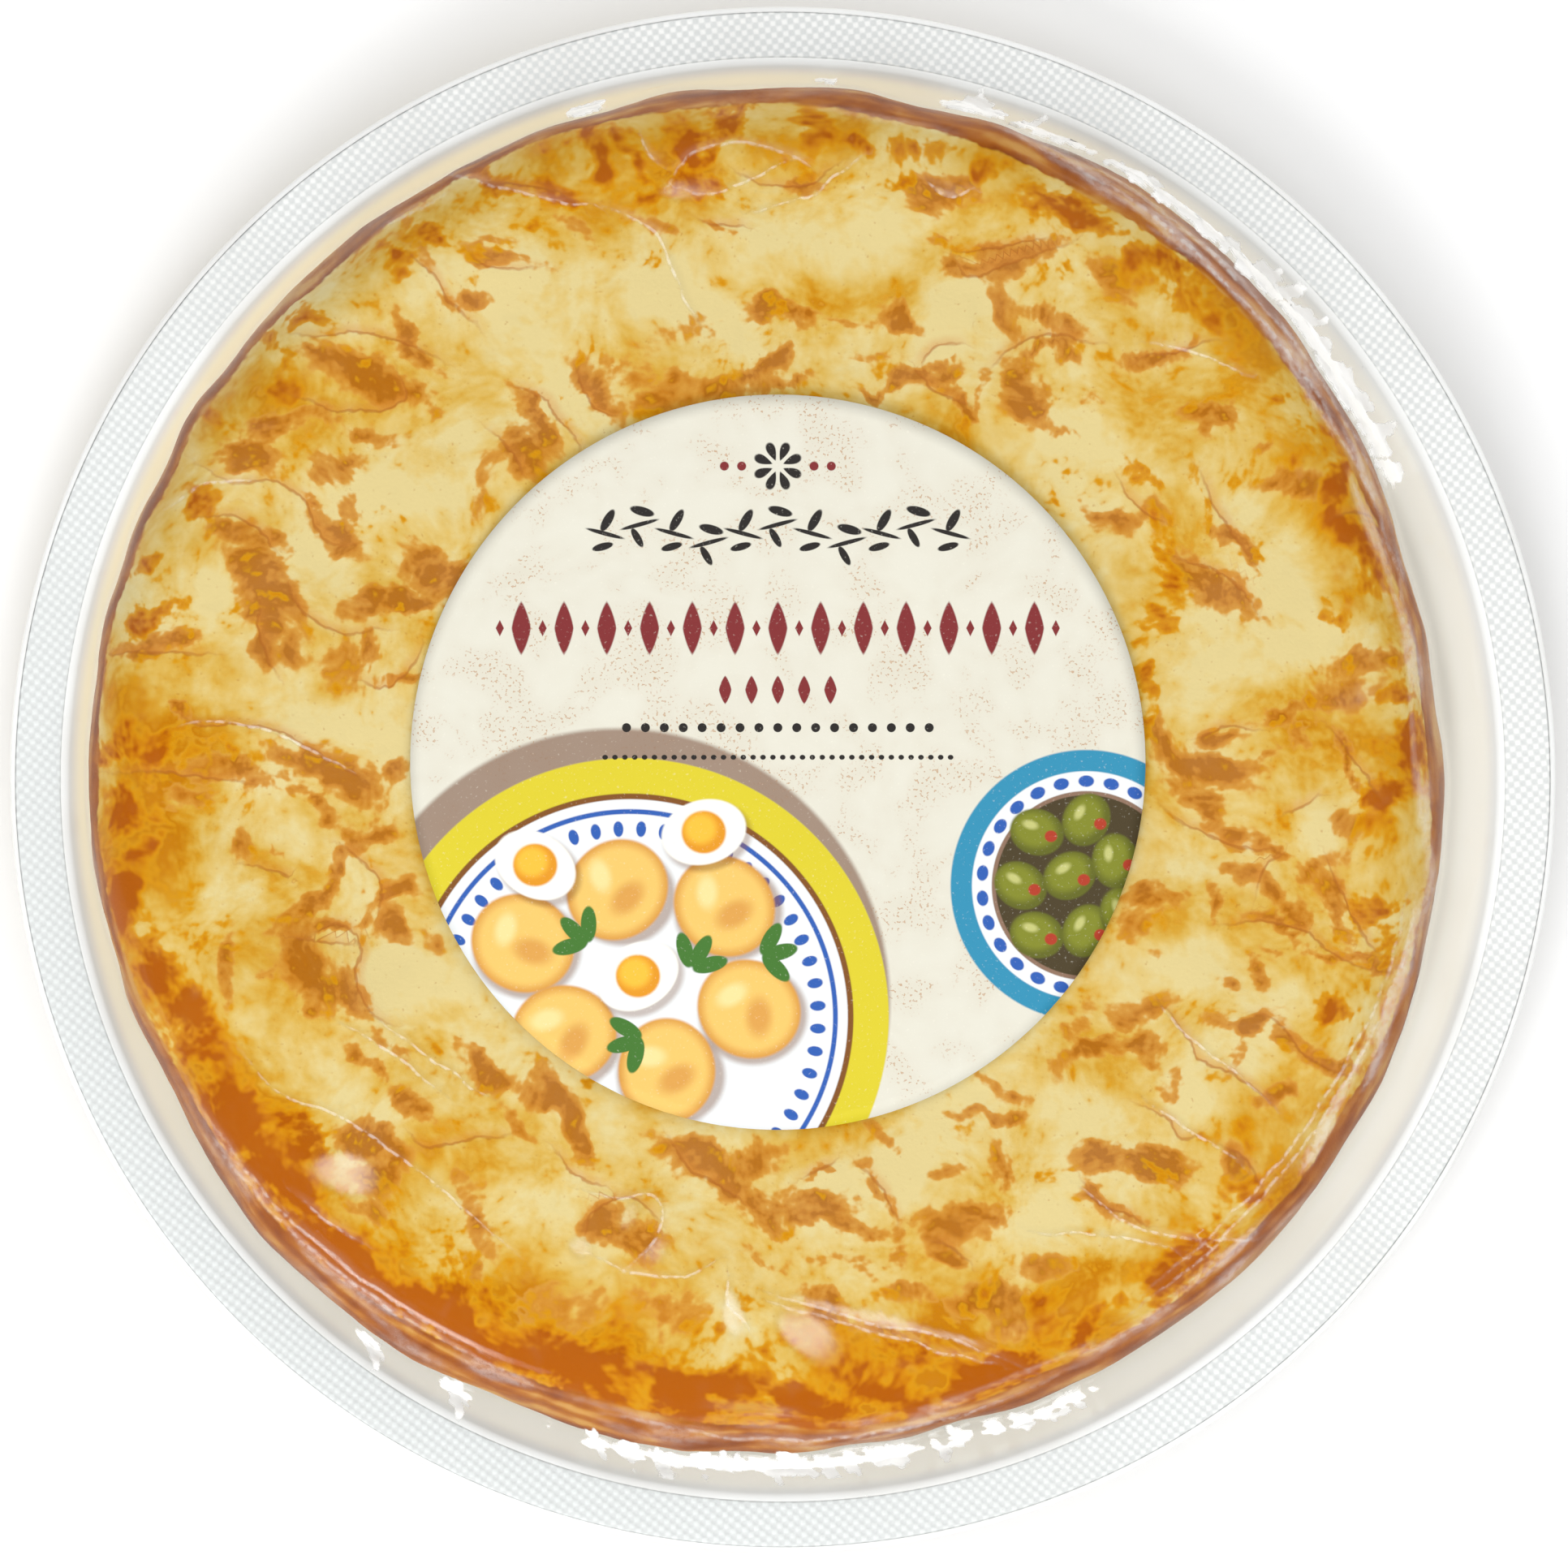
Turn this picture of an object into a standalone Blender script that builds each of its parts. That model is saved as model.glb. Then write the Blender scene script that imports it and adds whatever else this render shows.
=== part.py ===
"""A Spanish omelette in its own round plastic tray, under a clear film with a round paper label.

Metres, +Z up. The origin is under the tray's centre, on the surface that it stands on. The
omelette lies a little off the tray's centre, and its outline and its top are uneven. The film
is drawn down over it and welded to the tray's flange, and the label lies on the film.
"""

import math

import bpy
from mathutils import Vector, noise

MM = 0.001
STEPS = 64
SAME_PLACE = 0.01 * MM

# Tray: a thin formed shell, given by its upper face
TRAY_RADIUS = 95 * MM
TRAY_WALL = 0.8 * MM
FLANGE_HEIGHT = 12 * MM
FLANGE_INNER_RADIUS = 88.5 * MM
FLANGE_OUTER_RADIUS = 94.2 * MM
LIP_CHAMFER = 0.3 * MM
LIP_ROUND = 0.8 * MM
LIP_DROP = 2 * MM
FLOOR_HEIGHT = 1.6 * MM
FOOT_INNER_RADIUS = 73.5 * MM
FOOT_OUTER_RADIUS = 79.5 * MM
FOOT_SLOPE = 1.6 * MM
WALL_FOOT_RADIUS = 82 * MM
WALL_FOOT_HEIGHT = 1.8 * MM
WALL_TOP_RADIUS = 87.3 * MM
WALL_TOP_HEIGHT = 10.9 * MM

# Omelette: a thick disc, widest at its waist, with round edges above and below
BODY_RADIUS = 83.3 * MM
WAIST_HEIGHT = 12.5 * MM
TOP_HEIGHT = 25.8 * MM
CROWN = 0.3 * MM
BOTTOM_HEIGHT = FLOOR_HEIGHT + 0.35 * MM
UPPER_EDGE_WIDTH = 10.5 * MM
LOWER_EDGE_WIDTH = 12.5 * MM
OFFSET = Vector((-2.1 * MM, 1.3 * MM, 0))
EDGE_SAG = 1.5 * MM
SAG_DIRECTION = math.radians(268)
SAG_START_RADIUS = 56 * MM
SAG_FOCUS = 1.5
SIDE_UNEVENNESS = 0.8 * MM
SIDE_LUMPS = 7.5
SIDE_LUMP_HEIGHT = 9 * MM
TOP_SWELLS = ((26 * MM, 0.8 * MM), (11 * MM, 0.55 * MM))
TOP_RINGS = (0, 0.18, 0.36, 0.53, 0.68, 0.81, 0.92)
UPPER_TURNS = 8
LOWER_TURNS = 6

# Where the outline swells out, or in: direction and reach to each side in degrees, and how far
OUTLINE_SWELLS = (
    (13, 30, -0.8 * MM),
    (50, 33, 1.4 * MM),
    (82, 33, 0.6 * MM),
    (142, 54, -0.9 * MM),
    (210, 18, -0.8 * MM),
    (227, 27, 1.2 * MM),
    (268, 45, 0.5 * MM),
    (314, 36, 1.5 * MM),
    (342, 27, 0.6 * MM),
)

# Film: a thin skin, clear of what it lies on by the gap
GAP = 0.35 * MM
FILM_THICKNESS = 0.2 * MM
FILM_EDGE_RADIUS = 94.4 * MM
FILM_LEAVES_RADIUS = BODY_RADIUS + GAP
FILM_MEETS_RADIUS = WALL_TOP_RADIUS + 0.2 * MM
FILM_MEETS_HEIGHT = FLANGE_HEIGHT - 0.1 * MM + GAP

# The film's dip between the omelette and the tray: how far across, and what share of its depth
VALLEY_RINGS = ((0.2, 0.72), (0.42, 1.0), (0.66, 0.68), (0.86, 0.3))
VALLEY_DEPTH_SHARE = 0.8
VALLEY_UNEVENNESS = 0.9 * MM
VALLEY_LUMP = 12 * MM

# Label: a thin round sheet on the film
LABEL_RADIUS = 44.7 * MM
LABEL_THICKNESS = 0.2 * MM
LABEL_RINGS = (0, 0.3, 0.6, 0.82, 1)
LABEL_CENTRE = Vector((-0.6 * MM, 2.1 * MM, 0))
LABEL_EASE = 9 * MM
RELIEF_UNDER_LABEL = 0.25

COLOURS = {
    "tray": ((0.86, 0.87, 0.86), 0.42),
    "omelette": ((0.84, 0.57, 0.20), 0.50),
    "film": ((0.95, 0.95, 0.93), 0.08),
    "label": ((0.90, 0.87, 0.79), 0.62),
}


def clear_scene():
    for obj in list(bpy.data.objects):
        bpy.data.objects.remove(obj)


def smooth_step(value, low, high):
    """0 up to low, 1 from high, with no corner between."""
    share = min(max((value - low) / (high - low), 0.0), 1.0)
    return share * share * (3 - 2 * share)


def plastic_or_food(name):
    """The material of one piece, from COLOURS."""
    colour, roughness = COLOURS[name]
    material = bpy.data.materials.new(name)
    material.use_nodes = True
    shader = material.node_tree.nodes["Principled BSDF"]
    shader.inputs["Base Color"].default_value = (*colour, 1)
    shader.inputs["Roughness"].default_value = roughness
    shader.inputs["Metallic"].default_value = 0.0
    return material


def turned(name, profile, collection):
    """A mesh turned about Z from (radius, height) points, which start at the axis."""
    mesh = bpy.data.meshes.new(name)
    edges = [(i, i + 1) for i in range(len(profile) - 1)]
    mesh.from_pydata([(radius, 0, height) for radius, height in profile], edges, [])
    guide = bpy.data.objects.new(name + "_profile", mesh)
    collection.objects.link(guide)
    screw = guide.modifiers.new("Turn", "SCREW")
    screw.steps = screw.render_steps = STEPS
    screw.use_merge_vertices = True
    screw.merge_threshold = SAME_PLACE
    graph = bpy.context.evaluated_depsgraph_get()
    obj = bpy.data.objects.new(name, bpy.data.meshes.new_from_object(guide.evaluated_get(graph)))
    bpy.data.objects.remove(guide)
    collection.objects.link(obj)
    obj.data.materials.append(plastic_or_food(name))
    obj.data.shade_smooth()
    return obj


def place_points(obj, rule):
    """Moves each point of a turned mesh to where the rule says."""
    for vertex in obj.data.vertices:
        vertex.co = rule(vertex.co.copy())


def thicken(obj, thickness, side):
    """Gives a surface its wall, above its faces for side 1 and below them for side -1."""
    solidify = obj.modifiers.new("Wall", "SOLIDIFY")
    solidify.thickness = thickness
    solidify.offset = side
    solidify.use_even_offset = True


def top_relief(place):
    """How far the omelette's top lies above its plain form, at a place on it."""
    height = 0.0
    for size, depth in TOP_SWELLS:
        height += depth * noise.noise(Vector((place.x / size, place.y / size, size / MM)))
    from_label = (place.xy - LABEL_CENTRE.xy).length
    clear_of_label = smooth_step(from_label, LABEL_RADIUS - LABEL_EASE, LABEL_RADIUS + LABEL_EASE)
    return height * (RELIEF_UNDER_LABEL + (1 - RELIEF_UNDER_LABEL) * clear_of_label)


def edge_sag(place):
    """The front of the rim slumps, so that its edge is rounder there."""
    towards = math.cos(math.atan2(place.y, place.x) - SAG_DIRECTION)
    share = smooth_step(place.xy.length, SAG_START_RADIUS, BODY_RADIUS)
    return EDGE_SAG * share * max(towards, 0.0) ** SAG_FOCUS


def outline_swell(place):
    """How far the outline stands out at a place's angle and height."""
    degrees = math.degrees(math.atan2(place.y, place.x))
    broad = 0.0
    for direction, reach, depth in OUTLINE_SWELLS:
        apart = (degrees - direction + 180) % 360 - 180
        broad += depth * (1 - smooth_step(abs(apart), 0, reach))
    around = Vector((place.x, place.y, 0)).normalized() * SIDE_LUMPS
    fine = SIDE_UNEVENNESS * noise.noise(around + Vector((0, 0, place.z / SIDE_LUMP_HEIGHT)))
    return broad + fine * smooth_step(place.xy.length, BODY_RADIUS - UPPER_EDGE_WIDTH, BODY_RADIUS)


def settle(place):
    """Takes a point of the plain turned omelette, or of what lies on it, to its real place."""
    radius = place.xy.length
    height_share = smooth_step(place.z, WAIST_HEIGHT, TOP_HEIGHT - 2 * MM)
    above_floor = smooth_step(place.z, BOTTOM_HEIGHT, WAIST_HEIGHT)
    swell = outline_swell(place) * above_floor * radius / BODY_RADIUS
    outwards = Vector((place.x, place.y, 0)).normalized() if radius > 0 else Vector()
    moved = place + OFFSET + outwards * swell
    moved.z += (top_relief(place + OFFSET) - edge_sag(place)) * height_share
    return moved


def crown_height(radius):
    """The plain height of the omelette's top between its axis and its round edge."""
    flat_radius = BODY_RADIUS - UPPER_EDGE_WIDTH
    return TOP_HEIGHT + CROWN * (1 - (radius / flat_radius) ** 2)


def upper_section(gap):
    """(radius, height) from the axis over the top and down to the waist, a gap off the surface."""
    flat_radius = BODY_RADIUS - UPPER_EDGE_WIDTH
    edge_height = TOP_HEIGHT - WAIST_HEIGHT
    points = [(flat_radius * share, crown_height(flat_radius * share) + gap) for share in TOP_RINGS]
    for i in range(UPPER_TURNS + 1):
        angle = math.pi / 2 * (1 - i / UPPER_TURNS)
        across, up = math.cos(angle), math.sin(angle)
        normal = Vector((across / UPPER_EDGE_WIDTH, up / edge_height)).normalized() * gap
        points.append(
            (
                flat_radius + UPPER_EDGE_WIDTH * across + normal.x,
                WAIST_HEIGHT + edge_height * up + normal.y,
            )
        )
    return points


def lower_section():
    """(radius, height) from below the waist, round the lower edge and in to the axis."""
    flat_radius = BODY_RADIUS - LOWER_EDGE_WIDTH
    edge_height = WAIST_HEIGHT - BOTTOM_HEIGHT
    points = []
    for i in range(1, LOWER_TURNS + 1):
        angle = math.pi / 2 * i / LOWER_TURNS
        points.append(
            (
                flat_radius + LOWER_EDGE_WIDTH * math.cos(angle),
                WAIST_HEIGHT - edge_height * math.sin(angle),
            )
        )
    return [*points, (0, BOTTOM_HEIGHT)]


def tray_section():
    """(radius, height) of the tray's upper face, from its axis to the end of its lip."""
    # The foot ring's underside rests on z = 0, a wall's thickness below this face.
    return [
        (0, FLOOR_HEIGHT),
        (FOOT_INNER_RADIUS - FOOT_SLOPE, FLOOR_HEIGHT),
        (FOOT_INNER_RADIUS, TRAY_WALL),
        (FOOT_OUTER_RADIUS, TRAY_WALL),
        (WALL_FOOT_RADIUS, WALL_FOOT_HEIGHT),
        (WALL_TOP_RADIUS, WALL_TOP_HEIGHT),
        (WALL_TOP_RADIUS + 0.5 * MM, FLANGE_HEIGHT - LIP_CHAMFER),
        (FLANGE_INNER_RADIUS, FLANGE_HEIGHT),
        (FLANGE_OUTER_RADIUS, FLANGE_HEIGHT),
        (TRAY_RADIUS - 0.2 * MM, FLANGE_HEIGHT - LIP_CHAMFER),
        (TRAY_RADIUS, FLANGE_HEIGHT - LIP_ROUND),
        (TRAY_RADIUS, FLANGE_HEIGHT - LIP_DROP),
    ]


def film_section():
    """(radius, height) of the film's lower face, with the valley's points as yet plain."""
    points = upper_section(GAP)
    width = FILM_MEETS_RADIUS - FILM_LEAVES_RADIUS
    points += [(FILM_LEAVES_RADIUS + width * share, FLANGE_HEIGHT) for share, _ in VALLEY_RINGS]
    points += [
        (FILM_MEETS_RADIUS, FILM_MEETS_HEIGHT),
        (FLANGE_INNER_RADIUS, FLANGE_HEIGHT + GAP),
        (FLANGE_OUTER_RADIUS - 0.2 * MM, FLANGE_HEIGHT + GAP),
        (FILM_EDGE_RADIUS, FLANGE_HEIGHT + GAP - 0.1 * MM),
    ]
    return points


def valley_depth(place, width):
    """How deep the film is drawn in between the omelette and the tray, by the gap's width."""
    unevenness = VALLEY_UNEVENNESS * noise.noise(place / VALLEY_LUMP)
    return VALLEY_DEPTH_SHARE * width + unevenness * smooth_step(width, MM, 4 * MM)


def drape(place):
    """Takes a point of the plain film to its real place."""
    radius = place.xy.length
    if radius <= FILM_LEAVES_RADIUS + SAME_PLACE:
        return settle(place)
    if radius >= FILM_MEETS_RADIUS - SAME_PLACE:
        return place
    outwards = Vector((place.x, place.y, 0)).normalized()
    leaves = settle(outwards * FILM_LEAVES_RADIUS + Vector((0, 0, WAIST_HEIGHT)))
    meets = outwards * FILM_MEETS_RADIUS + Vector((0, 0, FILM_MEETS_HEIGHT))
    share = (radius - FILM_LEAVES_RADIUS) / (FILM_MEETS_RADIUS - FILM_LEAVES_RADIUS)
    deep = min(VALLEY_RINGS, key=lambda ring: abs(ring[0] - share))[1]
    moved = leaves.lerp(meets, share)
    moved.z -= deep * valley_depth(leaves, meets.xy.length - leaves.xy.length)
    return moved


def lay_label(place):
    """Takes a point of the plain label on to the film, which follows the omelette's top."""
    moved = place + LABEL_CENTRE
    from_axis = (moved - OFFSET).xy.length
    above = 2 * GAP + FILM_THICKNESS
    moved.z = crown_height(from_axis) + top_relief(moved) + above
    return moved


def make_tray(collection):
    tray = turned("tray", tray_section(), collection)
    thicken(tray, TRAY_WALL, -1)


def make_omelette(collection):
    omelette = turned("omelette", upper_section(0) + lower_section(), collection)
    place_points(omelette, settle)


def make_film(collection):
    film = turned("film", film_section(), collection)
    place_points(film, drape)
    thicken(film, FILM_THICKNESS, 1)


def make_label(collection):
    rings = [(LABEL_RADIUS * share, 0) for share in LABEL_RINGS]
    label = turned("label", rings, collection)
    place_points(label, lay_label)
    thicken(label, LABEL_THICKNESS, 1)


def main():
    clear_scene()
    collection = bpy.data.collections.new("packed_spanish_omelette")
    bpy.context.scene.collection.children.link(collection)
    make_tray(collection)
    make_omelette(collection)
    make_film(collection)
    make_label(collection)


main()
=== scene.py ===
"""The finish of a Spanish omelette in its sealed round tray, under a clear film with a round label.

Metres, +Z up, in the frame of the solids: the origin is under the tray's centre, on the surface
that it stands on. The forms repeat the solids' own rules and add what is finer than they are:
toasted skin, folds in the film, the pressed seal on the tray's flange and the label's print.
Marks that are listed are in millimetres from the tray's centre, +Y towards the label's top.
"""

import math

import bmesh
import bpy
from mathutils import Matrix, Vector, kdtree, noise


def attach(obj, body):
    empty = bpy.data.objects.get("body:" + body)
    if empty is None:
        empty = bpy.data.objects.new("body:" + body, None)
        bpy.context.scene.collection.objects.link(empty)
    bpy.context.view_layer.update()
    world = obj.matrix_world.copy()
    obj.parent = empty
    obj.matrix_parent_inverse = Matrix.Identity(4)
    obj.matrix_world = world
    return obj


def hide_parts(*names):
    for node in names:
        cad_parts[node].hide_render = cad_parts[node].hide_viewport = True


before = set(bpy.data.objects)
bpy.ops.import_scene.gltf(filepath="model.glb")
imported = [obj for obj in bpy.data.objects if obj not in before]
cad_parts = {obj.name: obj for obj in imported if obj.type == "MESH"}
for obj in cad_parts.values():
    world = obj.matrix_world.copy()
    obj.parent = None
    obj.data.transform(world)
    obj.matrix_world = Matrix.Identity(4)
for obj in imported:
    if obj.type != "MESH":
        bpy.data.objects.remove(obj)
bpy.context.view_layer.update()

# Vector noise would otherwise start from the clock, and differ from run to run
NOISE_SEED = 19
noise.seed_set(NOISE_SEED)

MM = 0.001
SAME_PLACE = 0.001 * MM
SECTORS = 8

# Tray, by its upper face
TRAY_RADIUS = 95 * MM
TRAY_WALL = 0.8 * MM
FLANGE_HEIGHT = 12 * MM
FLANGE_INNER_RADIUS = 88.5 * MM
FLANGE_OUTER_RADIUS = 94.2 * MM
LIP_CHAMFER = 0.3 * MM
LIP_ROUND = 0.8 * MM
LIP_DROP = 2 * MM
FLOOR_HEIGHT = 1.6 * MM
FOOT_INNER_RADIUS = 73.5 * MM
FOOT_OUTER_RADIUS = 79.5 * MM
FOOT_SLOPE = 1.6 * MM
WALL_FOOT_RADIUS = 82 * MM
WALL_FOOT_HEIGHT = 1.8 * MM
WALL_TOP_RADIUS = 87.3 * MM
WALL_TOP_HEIGHT = 10.9 * MM
CORNER_WIDTH = 1.3 * MM
CORNER_STEPS = 4
TRAY_STEPS = 360

# Pressed seal on the flange: rows of small pips, in straight lines across the whole tray
SEAL_INNER_RADIUS = 88.7 * MM
SEAL_OUTER_RADIUS = 94.3 * MM
SEAL_PITCH = 1.02 * MM
SEAL_PIP_HEIGHT = 0.2 * MM
SEAL_TURN = math.radians(38)
SEAL_STEPS = 2304
SEAL_RINGS = 24

# Omelette
BODY_RADIUS = 83.3 * MM
WAIST_HEIGHT = 12.5 * MM
TOP_HEIGHT = 25.8 * MM
CROWN = 0.3 * MM
BOTTOM_HEIGHT = FLOOR_HEIGHT + 0.35 * MM
UPPER_EDGE_WIDTH = 10.5 * MM
LOWER_EDGE_WIDTH = 12.5 * MM
FLAT_RADIUS = BODY_RADIUS - UPPER_EDGE_WIDTH
OFFSET = Vector((-2.1 * MM, 1.3 * MM, 0))
EDGE_SAG = 1.5 * MM
SAG_DIRECTION = math.radians(268)
SAG_START_RADIUS = 56 * MM
SAG_FOCUS = 1.5
SIDE_UNEVENNESS = 0.8 * MM
SIDE_LUMPS = 7.5
SIDE_LUMP_HEIGHT = 9 * MM
TOP_SWELLS = ((26 * MM, 0.8 * MM), (11 * MM, 0.55 * MM))
SKIN_RELIEF = ((4.5 * MM, 0.12 * MM), (1.7 * MM, 0.05 * MM))
OMELETTE_STEPS = 616

# Where the outline swells out, or in: direction and reach to each side in degrees, and how far
OUTLINE_SWELLS = (
    (13, 30, -0.8 * MM),
    (50, 33, 1.4 * MM),
    (82, 33, 0.6 * MM),
    (142, 54, -0.9 * MM),
    (210, 18, -0.8 * MM),
    (227, 27, 1.2 * MM),
    (268, 45, 0.5 * MM),
    (314, 36, 1.5 * MM),
    (342, 27, 0.6 * MM),
)

# Film
GAP = 0.35 * MM
FILM_THICKNESS = 0.2 * MM
FILM_EDGE_RADIUS = 94.4 * MM
FILM_LEAVES_RADIUS = BODY_RADIUS + GAP
FILM_MEETS_RADIUS = WALL_TOP_RADIUS + 0.2 * MM
FILM_MEETS_HEIGHT = FLANGE_HEIGHT - 0.1 * MM + GAP
VALLEY_LEAN = 0.8
VALLEY_DEPTH_SHARE = 0.8
VALLEY_UNEVENNESS = 0.9 * MM
VALLEY_LUMP = 12 * MM
FILM_STEPS = 600
FILM_IOR = 1.12
FOLD_HEIGHT = 0.1 * MM
BAND_HEIGHT = 0.06 * MM
CRUMPLE_HEIGHT = 0.8 * MM
SLACK_HEIGHT = 0.07 * MM
FILM_FREE_OF_LABEL = (46 * MM, 49 * MM)
FILM_LIES_FLAT = (87.5, 88.6)

# Painted glow: emission that stands in for light that the thin plastic lets through, and for the bright
# highlights that the crumples throw back
TRAY_GLOW = 0.34
CRUMPLE_GLOW = 0.14

# Label
LABEL_RADIUS = 44.7 * MM
LABEL_THICKNESS = 0.2 * MM
LABEL_CENTRE = Vector((-0.6 * MM, 2.1 * MM, 0))
LABEL_EASE = 9 * MM
RELIEF_UNDER_LABEL = 0.25
LABEL_STEPS = 240

# Photo: the tray's centre and radius in pixels, which give the camera its place
PHOTO_WIDTH = 1932
TRAY_PIXELS = 953
TRAY_CENTRE_PIXEL = (964.5, 960.5)
CAMERA_HEIGHT = 1.5
SENSOR_WIDTH = 36

# Floor of the studio, by half its width, just under the tray
FLOOR_HALF_WIDTH = 2.0
FLOOR_DROP = 0.05 * MM
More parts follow.
